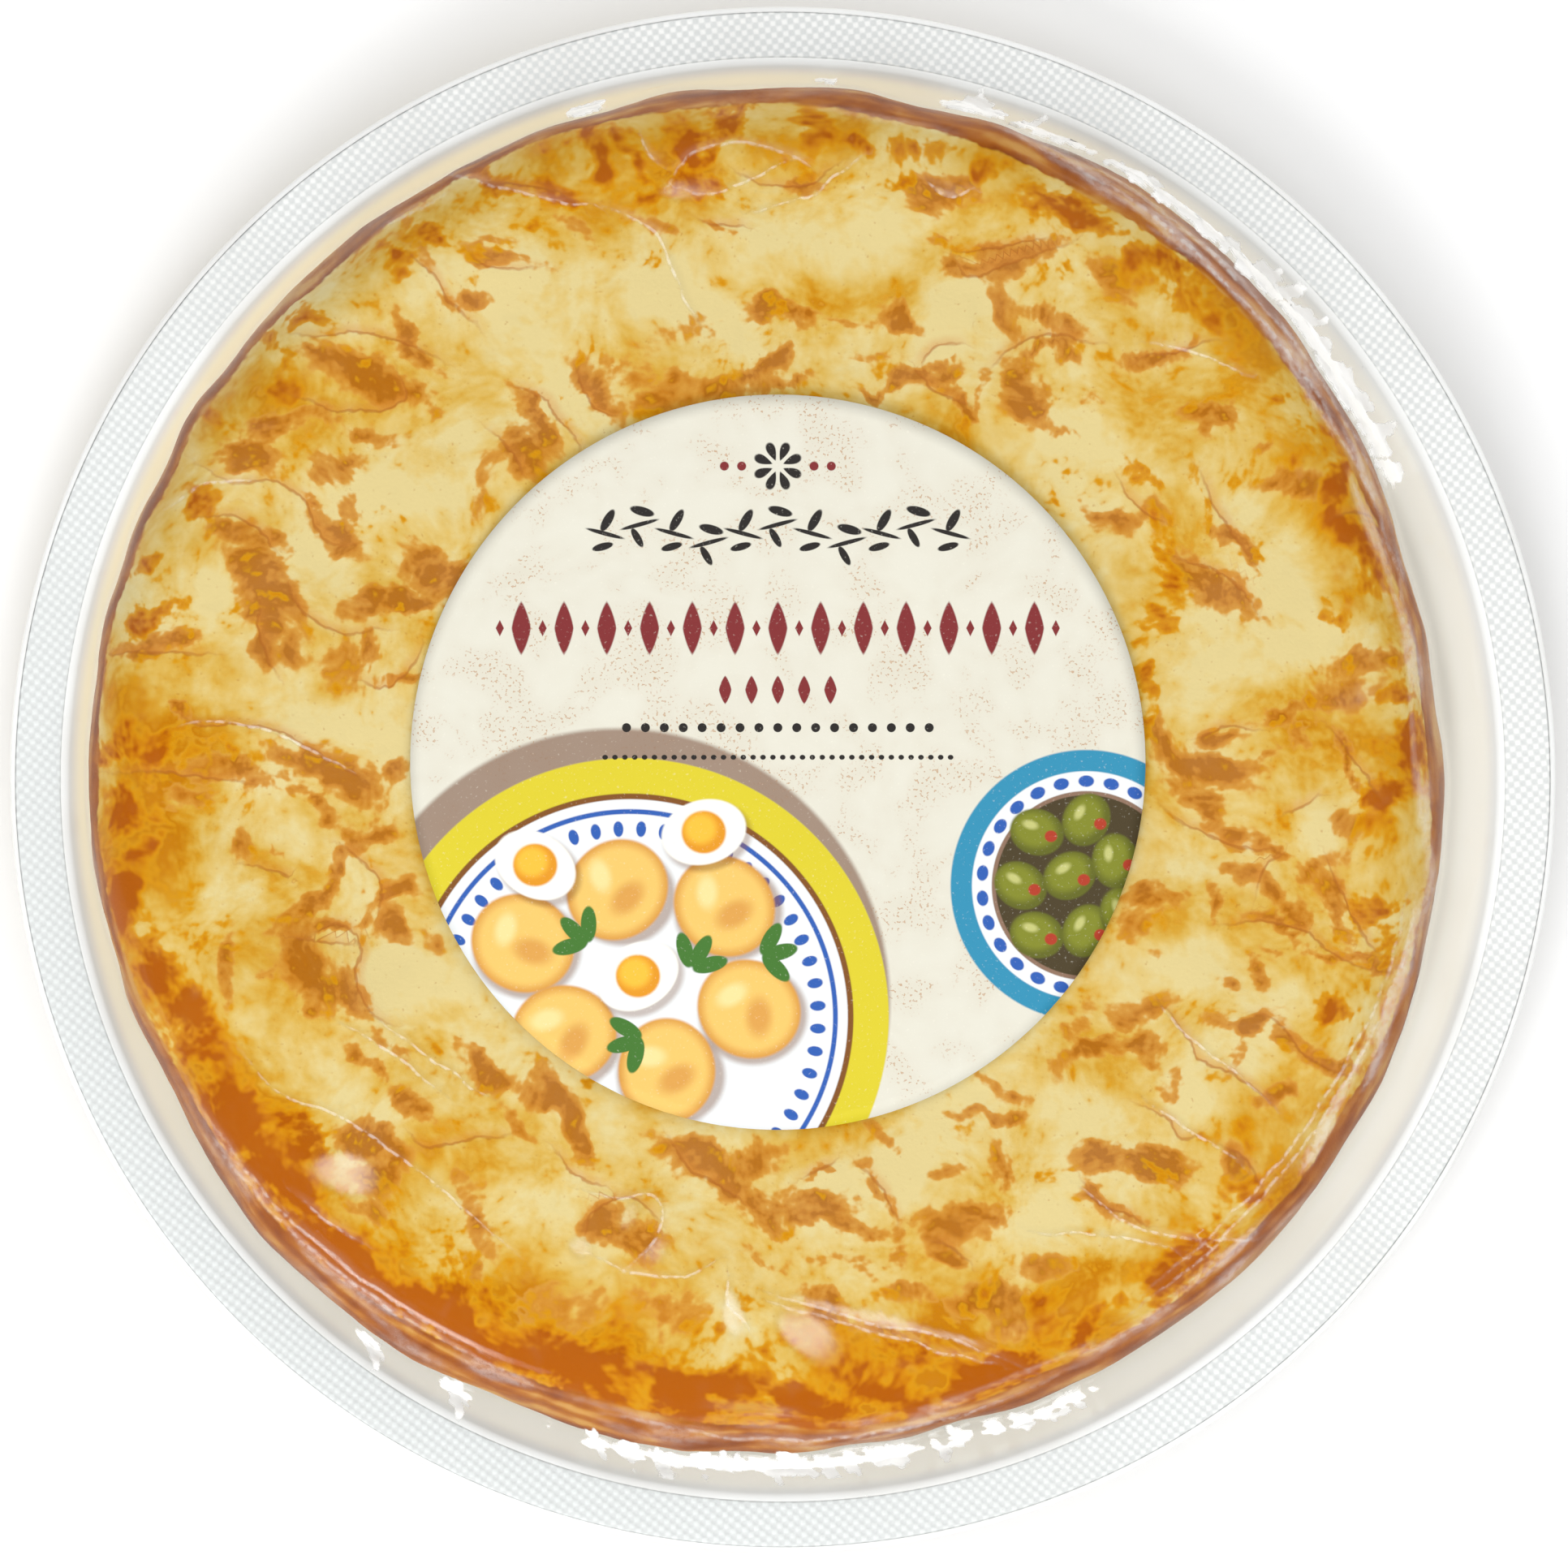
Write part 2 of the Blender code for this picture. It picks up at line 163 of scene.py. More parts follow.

# Toasted marks: x, y, length, width in mm, turn in degrees, strength
BROWN_MARKS = (
    # upper left
    (-51, 48.5, 17, 6.5, -20, 0.95), (-44, 53, 10, 3, -42, 1.0), (-57, 52, 5, 2.5, -10, 0.8),
    (-37.3, 57.3, 6, 3.5, 0, 0.9), (-43, 61.5, 13, 2, -55, 0.6), (-34, 63.6, 9, 2.2, -10, 0.75),
    (-35, 65.3, 6, 1.5, 10, 0.5), (-25.8, 67.5, 7, 3.2, -45, 0.65), (-15, 67.5, 6, 2, -30, 0.6),
    (-6.9, 67.4, 4.5, 1.3, -5, 0.9), (-2, 57.6, 7, 3, 10, 0.8), (-2, 51.5, 6, 3, 35, 0.95),
    (-21.5, 47, 9, 5, -50, 0.9), (-18, 50.5, 7, 5, 0, 0.5), (-10, 48.3, 20, 4, 6, 0.7),
    (-13, 53, 10, 4, 20, 0.35), (-31.5, 46.2, 5, 3.5, -40, 0.85), (-30, 42.5, 9, 4, -55, 0.85),
    (-32.5, 39.8, 9, 5, -50, 0.8), (-36, 37, 8, 3, 70, 0.5), (-62, 42.8, 9, 3.5, 15, 0.8),
    (-57, 43.6, 6, 2.5, -5, 0.6), (-50.5, 42.3, 7, 2.2, -8, 0.65), (-54.5, 38.5, 6.5, 3.5, 5, 0.75),
    (-65.7, 38.8, 7, 4, -10, 0.9), (-54, 29.8, 9, 4, -25, 0.9), (-52.5, 33, 4, 3, -75, 0.75),
    (-57.2, 33.5, 4, 2, -60, 0.75), (-66, 30.5, 13, 3, -28, 0.75), (-63.5, 24, 12, 6, -55, 0.9),
    (-63, 18, 10, 3.2, -78, 0.95), (-42, 25.3, 9, 6, -30, 0.9), (-50, 21.8, 8, 4, 0, 0.95),
    (-45.2, 21, 4.5, 3, 20, 0.95), (-58.5, 15, 8, 4, -75, 0.85), (-53.5, 14.5, 4, 8, -10, 0.5),
    (-50.2, 15.5, 6, 2.2, 85, 0.7), (-47, 12.2, 8, 1.8, 22, 0.7), (-42.5, 14, 4, 5, 60, 0.5),
    (-75, 16.6, 12, 3.5, 2, 0.85), (-73, 8, 3.5, 2, -40, 0.85), (-66, 1.2, 14, 2.4, -5, 0.75),
    (-55, 0.5, 15, 4.5, -28, 0.9), (-47.5, 0.5, 5, 4, 0, 0.9),
    # lower left
    (-72, -1.6, 5, 4, 0, 0.75), (-56, -3.6, 11, 2.4, -28, 0.75), (-49.5, -6, 7, 3, 25, 0.7),
    (-66.5, -7.3, 3, 4.5, -10, 0.7), (-62, -7, 4.5, 1.6, -50, 0.6), (-52.8, -9.5, 7, 2.6, 60, 0.85),
    (-58, -14.2, 10, 3, 40, 0.9), (-46.5, -14.3, 8, 2.8, 12, 0.9), (-47.5, -18.5, 6, 3, -65, 0.8),
    (-42.3, -20, 4, 3.5, -60, 0.65), (-55.5, -18, 7, 2, 5, 0.85), (-50.5, -16, 5, 2, 80, 0.6),
    (-57, -23, 11, 6, -60, 0.95), (-52.5, -27, 7, 4, -60, 0.9), (-57, -27.5, 5, 2, 20, 0.7),
    (-66.7, -23, 10, 2.6, 85, 0.8), (-62, -24.5, 3, 2, 30, 0.6), (-47.5, -32.6, 5, 2.2, -25, 0.7),
    (-50.8, -34.6, 7, 1.8, -28, 0.7), (-45.3, -40, 5, 5, 0, 0.8), (-36, -34.8, 9, 4, -25, 0.9),
    (-30, -38.5, 8, 4, -40, 0.85), (-27.5, -41, 13, 4, -62, 0.95), (-32, -42.3, 7, 1.8, -62, 0.65),
    (-24.3, -44.5, 5, 3, -50, 0.95), (-49.5, -44.8, 9, 5, -25, 1.0), (-48.8, -48.5, 5, 5, 0, 0.9),
    (-50, -51.8, 5, 3, 0, 0.75), (-37.5, -53.5, 9, 3, -80, 0.7), (-38, -49.5, 4, 2, 0, 0.4),
    (-22.5, -54, 8, 5, 60, 0.95), (-18, -56, 8, 6, 0, 0.75), (-11, -45, 8, 5, -20, 0.9),
    (-7, -48, 8, 4, -35, 0.9), (-3.5, -46, 7, 6, 0, 0.75), (-2, -52, 8, 3.5, -30, 0.75),
    (-38.5, -60.5, 8, 2.4, -75, 0.8), (-27.5, -65.5, 10, 7, 0, 0.6), (-14, -64, 9, 8, 0, 0.65),
    # lower right
    (52, 1.8, 13, 5.5, -8, 1.0), (50, -3, 9, 4, -30, 0.8), (55, -5.8, 10, 3, -28, 0.8),
    (59.5, -8.2, 8, 2.4, -5, 0.85), (66.3, -10, 5, 5, 30, 0.8), (69.5, -5, 4, 6, 70, 0.65),
    (57.5, -12.4, 9, 4, -20, 0.9), (63, -16, 5, 3.5, -30, 0.75), (45.5, -14.6, 8, 3.6, 10, 0.8),
    (43.2, -17.5, 5, 4, 40, 0.6), (52.6, -15.4, 4.5, 1.6, -80, 0.8), (61.5, -18, 8, 2, -15, 0.8),
    (68.3, -16, 11, 2, -62, 0.75), (72, -22.6, 8, 2.2, -8, 0.9), (66.5, -21, 6, 2, -30, 0.75),
    (59, -24, 6, 2.2, -62, 0.7), (61, -21.8, 4, 1.5, -20, 0.5), (54.2, -24.4, 2.6, 2.2, 0, 0.75),
    (46.4, -21.4, 2.6, 2, 0, 0.6), (43.5, -29, 9, 4, 12, 0.7), (37.5, -32.8, 9, 3, 5, 0.9),
    (44.2, -32.4, 6, 3.6, 15, 0.9), (35.5, -29.5, 5, 3, 50, 0.6), (56.5, -29, 9, 3, 5, 0.95),
    (55.3, -33.8, 6, 2, 72, 0.75), (60, -38.6, 5, 3, 40, 0.9), (61.5, -31.5, 5, 2, -40, 0.8),
    (66.5, -34.8, 8, 2.6, -22, 0.9), (46.5, -37.2, 5, 2.4, -52, 0.75), (27.5, -37.6, 8, 3.6, -32, 0.75),
    (32.5, -35, 3, 8, 10, 0.4), (24.5, -41.3, 11, 1.8, -5, 0.8), (27.4, -47, 7, 3.6, -75, 0.7),
    (38.5, -46.2, 8, 4, 5, 0.9), (46.5, -46.6, 8, 4, -5, 0.9), (55.4, -46.6, 6, 3, -40, 0.85),
    (20.6, -47.8, 5.5, 2.4, -8, 0.65), (9.6, -47.4, 3.5, 2, -20, 0.65), (12.5, -51, 7, 1.8, -55, 0.65),
    (4, -47.9, 5, 1.2, 20, 0.9), (3.5, -52, 10, 4.5, -5, 0.8), (8, -54.5, 8, 3, -15, 0.7),
    (21.5, -53.5, 10, 5, -8, 0.8), (20.8, -57.4, 6, 2, -38, 0.85), (38, -50.6, 6, 2, -25, 0.85),
    (41.5, -53, 7, 3, -25, 0.8), (31, -60.2, 8, 3.5, 0, 0.7), (24.5, -62.3, 9, 4, -5, 0.85),
    (16, -61.4, 6, 3, 10, 0.65), (28, -66, 9, 7, 30, 0.75), (5, -64, 8, 3.5, -25, 0.9),
    (13.5, -66.5, 10, 3.5, -18, 0.85), (-1.5, -58.5, 6, 2, -30, 0.5), (7, -59, 10, 2, -10, 0.45),
    (14, -56, 3, 8, 10, 0.45), (12, -43.5, 5, 2, -60, 0.5),
    # upper right
    (2, 72.4, 8, 2, -5, 0.9), (20.5, 71.6, 9, 3.6, -12, 0.85), (20.5, 67, 5, 2, 0, 0.5),
    (27, 63.6, 14, 3, 17, 0.85), (22, 62.5, 4, 3, -50, 0.85), (26.5, 58, 8, 2.8, -82, 0.75),
    (33, 56, 10, 3.6, -22, 0.8), (40, 60.8, 8, 4.5, -50, 0.75), (31.5, 53, 9, 2.4, 12, 0.8),
    (34, 51, 6, 3, -30, 0.65), (46.6, 51.8, 9, 2, 15, 0.85), (29.5, 46.6, 13, 5, -52, 0.9),
    (33.5, 42.5, 4, 3, 0, 0.75), (51.8, 45.4, 8, 3.6, -5, 0.8), (38.4, 46, 3, 2, 0, 0.5),
    (16.4, 48.6, 8, 3.6, 25, 0.85), (21.5, 46, 6, 2, -35, 0.9), (23.2, 48, 6, 1.8, -82, 0.65),
    (3, 56.4, 5, 3.4, 0, 0.8), (8, 56.7, 8, 1.4, -3, 0.65), (14, 56, 4.5, 2.6, -10, 0.9),
    (17.8, 51.4, 5, 1.2, 40, 0.65), (10, 52, 10, 1.5, -5, 0.4), (0.6, 48.6, 6, 2.5, 8, 0.75),
    (11.5, 46.4, 3, 1.4, -20, 0.9), (40.3, 32.4, 7, 4, 5, 0.75), (45.5, 31.5, 5, 4, -60, 0.75),
    (52.3, 23.6, 12, 5, -30, 0.9), (48, 26, 8, 4, -40, 0.8), (54.5, 29.5, 6, 2.6, -60, 0.95),
    (56.3, 27, 5, 2.5, -55, 0.9), (58.8, 40.8, 3.5, 2, -20, 0.65), (63, 35.5, 9, 3.4, -8, 0.85),
    (70.9, 14.6, 10, 3.2, 15, 0.8), (69.4, 11, 8, 5, 20, 0.75), (62, 8.6, 8, 2.6, 15, 0.7),
    (64, 6, 4, 2.5, -60, 0.6), (53.8, 5.6, 8, 2.4, 14, 0.9), (46, 5.4, 8, 2.6, -85, 0.85),
    (59.6, 3, 5, 1.4, 15, 0.55), (69.6, 3, 9, 2, -60, 0.8),
)
AMBER_MARKS = (
    (-37, 73, 14, 2.6, -8, 0.9), (-28.4, 71.8, 7, 3, -28, 1.0), (-21.9, 75.5, 8, 3.6, -80, 1.0),
    (-17.5, 76.5, 7, 2, -55, 0.75), (-8.5, 77, 11, 3.6, 50, 0.9), (-5.5, 80.3, 5, 2, 40, 0.9),
    (-13, 71.6, 7, 3, 5, 0.75), (-8, 72.2, 5, 2.4, 20, 0.7), (-43.5, 66.5, 6, 3, -45, 0.8),
    (-47.5, 63, 6, 2, -50, 0.7), (-58, 57, 6, 3, -10, 0.75), (-61.5, 52.5, 7, 3, -65, 0.85),
    (-61.5, 47.5, 5, 3, -60, 1.0), (-69, 44, 6, 3, -60, 0.85), (-67, 46, 6, 5, 0, 0.5),
    (-72, 33.8, 5, 4, 20, 1.0), (-77.3, 25.8, 5, 3, 10, 0.75), (-76, 19.3, 7, 2.6, 20, 0.8),
    (-80.5, 4, 5, 6, 0, 0.9), (-76.3, 2.8, 4, 3, 40, 0.7), (-80, -3, 5, 5, 0, 0.75),
    (-77, -8, 6, 3, 20, 0.75), (-79, -13.5, 5, 9, 0, 0.85), (-77.5, -19.5, 6, 4, -40, 0.85),
    (-76, -24, 5, 7, 20, 0.85), (-72.3, -29, 6, 9, 10, 1.0), (-72.5, -33, 5, 3.5, 0, 0.95),
    (-67.3, -38, 5, 5, 0, 0.8), (-66, -41.5, 12, 5, -40, 1.0), (-58, -43.5, 8, 4, -25, 0.9),
    (-61, -49, 14, 4, -45, 0.95), (-52, -58.5, 16, 5, -42, 1.0), (-40.5, -66, 14, 5, -32, 1.0),
    (-25.5, -72.3, 14, 4.5, -14, 1.0), (-12, -73.5, 12, 4, -5, 0.8), (0.5, -75.4, 11, 4.5, -20, 1.0),
    (13.5, -75, 10, 4, -12, 0.9), (25.5, -72.2, 14, 5.5, 12, 1.0), (36.2, -66.8, 8, 4, 30, 0.9),
    (40.4, -64.8, 4, 3.6, 0, 0.9), (46, -61, 7, 5, 40, 0.85), (50, -57, 6, 9, -20, 1.0),
    (57.4, -49.5, 4, 4, 0, 0.85), (73, -15.5, 5, 5, 0, 0.75), (67.3, -28, 5, 3.5, 0, 0.8),
    (74.5, -2, 6, 3.4, 10, 0.9), (76.8, 4, 4, 9, 15, 0.9), (74.8, 10.4, 5, 3, -20, 0.95),
    (66.4, 19.4, 5, 3, -30, 0.85), (69.5, 29.5, 8, 3.6, -35, 0.95), (72.6, 25, 6, 3.4, -50, 1.0),
    (67.5, 35.5, 6, 3.5, -60, 0.85), (44.5, 37.5, 9, 3.4, -30, 0.95), (52, 36, 9, 2.4, -65, 0.85),
    (45.6, 27.5, 12, 5, -78, 0.85), (46.3, 19.6, 6, 3.6, 0, 0.85), (43.6, 64, 5.5, 4, -10, 1.0),
    (41, 67, 6, 3, -40, 0.85), (37, 69, 6, 4, -30, 0.85), (32.6, 71.5, 5, 4.5, 0, 0.95),
    (25.3, 73, 4, 6, 0, 0.85), (14, 77.6, 13, 4, -8, 0.85), (4.6, 78, 3.4, 9, 5, 1.0),
    (48.5, 60.5, 6, 8, 20, 0.75), (53, 56, 6, 4, -40, 0.8), (45, 11, 12, 3, -85, 0.8),
)

# Pale islands, which are smooth set egg and slices of potato near the skin
PALE_MARKS = (
    (6, 64.5, 24, 9.5, 2, 1.0), (-33, 57, 10, 12, 0, 0.7), (-39, 46, 12, 10, 30, 0.6),
    (-45, 34, 14, 5, -10, 0.7), (-55, 25.5, 12, 4, -45, 0.8), (-70, 22, 5, 8, 15, 0.6),
    (-68, 10, 14, 4, 0, 0.6), (-56, 7.5, 14, 5, -5, 0.6), (-58, -8, 12, 5, -20, 0.8),
    (-68, -13, 9, 6, 0, 0.6), (-46, -25, 11, 9, 0, 1.0), (-58, -35, 22, 7, -35, 0.9),
    (-42, -52, 9, 9, 0, 0.6), (-31, -51, 10, 6, 0, 0.5), (-33, -45, 5, 4, -50, 0.6),
    (-42, -29, 12, 3.5, -35, 0.6), (5, -48.5, 10, 3, 0, 0.4), (14, -48, 6, 8, 0, 0.5),
    (33, -54, 9, 6, -10, 0.6), (38, -57, 14, 3, 0, 0.6), (48, -38, 9, 6, -20, 0.9),
    (35, -39, 12, 6, -10, 0.9), (58.4, -33.5, 5, 6, 0, 0.9), (64.8, -7, 5, 8, 0, 1.0),
    (50, -11, 8, 3, -10, 0.6), (63, -27, 7, 5, 0, 0.6), (60, 15, 22, 6, 12, 0.9),
    (50, 12, 8, 6, 0, 0.7), (62, 25, 6, 9, 0, 0.7), (38, 41, 16, 5, -25, 0.8),
    (44, 57, 6, 5, 0, 0.5), (20, 58, 6, 8, 0, 0.7), (38, 66, 5, 3, 0, 0.4), (56, 33, 5, 5, 0, 0.6),
    (-16, 57, 12, 6, 0, 0.6), (-24, 60, 8, 8, 0, 0.4), (-64, 0, 8, 2, 0, 0.4), (50, -23, 9, 7, 0, 0.8),
)

# Creases in the omelette's skin: the points that each runs through, dark side to the left of the way
SKIN_CREASES = (
    ((-60, 54), (-53, 54.3), (-47, 53.6), (-41, 50.6)),
    ((-60.5, 47), (-55, 45), (-49, 44.8), (-45.5, 46.5), (-47, 50)),
    ((-46, 64.5), (-42.5, 61.5), (-40, 57.5), (-37, 55.2)),
    ((-38, 64), (-35, 62.2), (-30, 62.3)),
    ((-33, 47.8), (-29.5, 46.5), (-26, 42.5), (-24.5, 40)),
    ((-36, 42.5), (-33, 39.5), (-31.5, 37)),
    ((-25, 50), (-24, 47), (-22, 44.7), (-20, 44.5)),
    ((-72, 39), (-66.5, 36), (-62, 36.3), (-58.5, 34), (-57, 30.5), (-54.5, 28.2), (-51.5, 28.8)),
    ((-72, 32), (-66.5, 31.8), (-63, 29.5), (-61.5, 27.5)),
    ((-60, 24), (-58.5, 20.5), (-54, 17.8), (-48, 18.2)),
    ((-83, 15.3), (-76, 15.6), (-69, 15.2)),
    ((-64, 22), (-63.5, 17), (-61.5, 12.5)),
    ((-52, 12.2), (-48.5, 11.2), (-45, 13.5), (-43.8, 17)),
    ((-74, 8), (-71, 6.3), (-66, 6.8), (-60, 5.3), (-54, 1.8), (-51, 0)),
    ((-82, 0.6), (-75, 0.9), (-70, 0.2), (-64, -0.6)),
    ((-66, -10.5), (-61, -11.3), (-60, -12)),
    ((-54, -8), (-51, -10), (-49, -13), (-49.5, -17.5)),
    ((-58, -19), (-54, -17.6), (-51.5, -20), (-52, -24), (-50.5, -28), (-47, -30)),
    ((-60, -19.5), (-52, -20)),
    ((-45.5, -43), (-43, -45), (-38, -43.8), (-33, -43)),
    ((-24, -56), (-23.5, -53), (-20, -51), (-17, -51.5), (-14.5, -54.5)),
    ((-28, -45), (-25, -48.5), (-21, -49.8)),
    ((-14, -43), (-12, -46.5), (-7, -50), (-4, -52)),
    ((9, -47), (12, -50), (14, -54)),
    ((2.5, -48.3), (4.5, -47.7), (6.5, -46.3)),
    ((18, -56), (20.5, -57), (23, -59)),
    ((36, -48.5), (38, -51.5), (42, -53), (45, -54.5)),
    ((45.5, -26.8), (48, -29.5), (50.5, -33.5), (55, -36), (58.5, -38.5), (60.5, -40.6)),
    ((57, -28.3), (60.5, -29.6), (63, -33), (67, -35.5), (70, -36)),
    ((43, -39.5), (46.5, -41), (48.5, -43.5), (51, -43)),
    ((53, -44.5), (56.5, -46.3), (58.5, -50)),
    ((53, -17.6), (58, -17), (63, -18.3), (68, -22), (74, -23.6)),
    ((66, -9), (68, -14), (71, -19.5), (73, -21.5)),
    ((46, -3), (50, -6), (56, -8.4), (60, -8.6)),
    ((57.5, -14), (59, -10.5), (61, -8.8)),
    ((61, -4.2), (63, -3.2), (65.5, -1.8)),
    ((66, 6.5), (69, 3), (71.5, -0.5), (73, -2.5)),
    ((50.5, 5.2), (53.5, 6.4), (58, 6)),
    ((20.6, 63.8), (22.6, 61), (28, 63), (36, 65.8)),
    ((21, 64.5), (27, 65), (33, 66.2)),
    ((25, 50), (29, 53), (34, 54.2), (39, 53)),
    ((43, 51.2), (48, 52), (53, 53.5)),
    ((17, 50.2), (18.5, 52.2), (22, 53)),
    ((16, 50), (19, 46.8), (23, 45.3)),
    ((40.5, 36.5), (43, 33.5), (47, 31)),
    ((50.5, 38), (52.5, 33.5), (55, 30), (57.5, 26)),
    ((47, 27.5), (51, 26), (55, 23.5), (58, 20)),
    ((67, 32), (70, 32.6), (72.5, 31.5)),
    ((-6, 74), (-1, 72.2), (4, 72.8), (7, 75)),
    ((-41, 73.6), (-34, 72.6), (-28, 71.4), (-24, 69.6)),
    ((-10, 68), (-7, 67.1), (-4.5, 67.3)),
)
CREASE_REACH = 2.2 * MM
CREASE_HEIGHT = 0.1 * MM
TOAST_HEIGHT = 0.08 * MM

# Steps of a drawn line from one of its given points to the next
ROUTE_STEPS = 10

# How the marks fade out, and what makes their edges ragged: the size of swirls and how far they carry
MARK_FADE = 1.6
SHARP_SIDE = 0.7
MARK_STIRS = ((7 * MM, 2.2 * MM), (2.2 * MM, 1.1 * MM))

# How far in from the outline the browned side shows from above, by direction
SIDE_BANDS = (
    (58, 50, 2.6 * MM),
    (150, 44, -0.4 * MM),
    (250, 56, 2.0 * MM),
    (310, 30, 1.3 * MM),
)
SIDE_BAND_LEAST = 1.9 * MM

# Where the rim's top is most amber: direction, reach and strength
AMBER_RIMS = (
    (100, 42, 0.8),
    (50, 40, 0.55),
    (15, 45, 0.5),
    (190, 40, 0.85),
    (236, 48, 1.7),
    (275, 45, 1.5),
    (318, 34, 0.6),
    (345, 30, 0.45),
)
RIM_UNEVENNESS = 0.9
RIM_LUMP = 6 * MM


def smooth_step(value, low, high):
    """0 up to low, 1 from high, with no corner between."""
    share = min(max((value - low) / (high - low), 0.0), 1.0)
    return share * share * (3 - 2 * share)


def around_rim(place, swells):
    """What swells given as (direction, reach in degrees, amount) add up to at a place's angle."""
    degrees = math.degrees(math.atan2(place.y, place.x))
    total = 0.0
    for direction, reach, amount in swells:
        apart = (degrees - direction + 180) % 360 - 180
        total += amount * (1 - smooth_step(abs(apart), 0, reach))
    return total


def relief(place, swells):
    """Height from soft noise of each (size, depth), at a place seen from above."""
    height = 0.0
    for size, depth in swells:
        height += depth * noise.noise(Vector((place.x / size, place.y / size, size / MM)))
    return height


def top_relief(place):
    """How far the omelette's top lies above its plain form, at a place on it."""
    from_label = (place.xy - LABEL_CENTRE.xy).length
    clear_of_label = smooth_step(from_label, LABEL_RADIUS - LABEL_EASE, LABEL_RADIUS + LABEL_EASE)
    return relief(place, TOP_SWELLS) * (RELIEF_UNDER_LABEL + (1 - RELIEF_UNDER_LABEL) * clear_of_label)


def edge_sag(place):
    """The front of the rim slumps, so that its edge is rounder there."""
    towards = math.cos(math.atan2(place.y, place.x) - SAG_DIRECTION)
    share = smooth_step(place.xy.length, SAG_START_RADIUS, BODY_RADIUS)
    return EDGE_SAG * share * max(towards, 0.0) ** SAG_FOCUS


def outline_swell(place):
    """How far the outline stands out at a place's angle and height."""
    around = Vector((place.x, place.y, 0)).normalized() * SIDE_LUMPS
    fine = SIDE_UNEVENNESS * noise.noise(around + Vector((0, 0, place.z / SIDE_LUMP_HEIGHT)))
    near_edge = smooth_step(place.xy.length, BODY_RADIUS - UPPER_EDGE_WIDTH, BODY_RADIUS)
    return around_rim(place, OUTLINE_SWELLS) + fine * near_edge


def settle(place):
    """Takes a point of the plain turned omelette, or of what lies on it, to its real place."""
    radius = place.xy.length
    height_share = smooth_step(place.z, WAIST_HEIGHT, TOP_HEIGHT - 2 * MM)
    above_floor = smooth_step(place.z, BOTTOM_HEIGHT, WAIST_HEIGHT)
    swell = outline_swell(place) * above_floor * radius / BODY_RADIUS
    outwards = Vector((place.x, place.y, 0)).normalized() if radius > 0 else Vector()
    moved = place + OFFSET + outwards * swell
    moved.z += (top_relief(place + OFFSET) - edge_sag(place)) * height_share
    return moved


def crown_height(radius):
    """The plain height of the omelette's top between its axis and its round edge."""
    return TOP_HEIGHT + CROWN * (1 - (radius / FLAT_RADIUS) ** 2)


def spaced(start, end, count):
    """Values from start up to just before end, evenly apart."""
    return [start + (end - start) * i / count for i in range(count)]


def top_section(radii, gap):
    """(radius, height) across the omelette's top, a gap above it."""
    return [(radius, crown_height(radius) + gap) for radius in radii]


def round_edge(turns, gap):
    """(radius, height) from the end of the top down to the waist, a gap off the surface."""
    edge_height = TOP_HEIGHT - WAIST_HEIGHT
    points = []
    for i in range(turns + 1):
        angle = math.pi / 2 * (1 - i / turns)
        across, up = math.cos(angle), math.sin(angle)
        off = Vector((across / UPPER_EDGE_WIDTH, up / edge_height)).normalized() * gap
        points.append(
            (FLAT_RADIUS + UPPER_EDGE_WIDTH * across + off.x, WAIST_HEIGHT + edge_height * up + off.y)
        )
    return points


def lower_edge(turns):
    """(radius, height) from below the waist, round the lower edge and in to the axis."""
    flat_radius = BODY_RADIUS - LOWER_EDGE_WIDTH
    edge_height = WAIST_HEIGHT - BOTTOM_HEIGHT
    points = []
    for i in range(1, turns + 1):
        angle = math.pi / 2 * i / turns
        across, down = math.cos(angle), math.sin(angle)
        points.append((flat_radius + LOWER_EDGE_WIDTH * across, WAIST_HEIGHT - edge_height * down))
    return [*points, (flat_radius * 0.5, BOTTOM_HEIGHT), (0, BOTTOM_HEIGHT)]


def turned(profile, steps):
    """A bmesh turned about Z from (radius, height) points, one sector copied round."""
    bm = bmesh.new()
    points = [bm.verts.new((radius, 0, height)) for radius, height in profile]
    edges = [bm.edges.new(pair) for pair in zip(points, points[1:])]
    bmesh.ops.spin(
        bm, geom=points + edges, cent=(0, 0, 0), axis=(0, 0, 1),
        angle=math.tau / SECTORS, steps=steps // SECTORS,
    )
    sector = bm.verts[:] + bm.edges[:] + bm.faces[:]
    for i in range(1, SECTORS):
        copied = bmesh.ops.duplicate(bm, geom=sector)["geom"]
        corners = [part for part in copied if isinstance(part, bmesh.types.BMVert)]
        turn = Matrix.Rotation(math.tau * i / SECTORS, 3, "Z")
        bmesh.ops.rotate(bm, verts=corners, cent=(0, 0, 0), matrix=turn)
    bmesh.ops.remove_doubles(bm, verts=bm.verts[:], dist=SAME_PLACE)
    bm.verts.ensure_lookup_table()
    return bm


def rounded(profile, width):
    """A profile with its inner corners rounded, as far as their sides leave room for it."""
    knots = [Vector(point) for point in profile]
    points = [knots[0]]
    for before, corner, after in zip(knots, knots[1:], knots[2:]):
        back, onward = before - corner, after - corner
        room = min(width, 0.45 * back.length, 0.45 * onward.length)
        start, end = corner + back.normalized() * room, corner + onward.normalized() * room
        for i in range(CORNER_STEPS + 1):
            share = i / CORNER_STEPS
            points.append(start.lerp(corner, share).lerp(corner.lerp(end, share), share))
    return [tuple(point) for point in (*points, knots[-1])]


def finished(bm, name, material):
    """The object of a bmesh, shaded smooth, with its material."""
    mesh = bpy.data.meshes.new(name)
    bm.to_mesh(mesh)
    bm.free()
    mesh.materials.append(material)
    mesh.shade_smooth()
    obj = bpy.data.objects.new(name, mesh)
    bpy.context.scene.collection.objects.link(obj)
    return obj


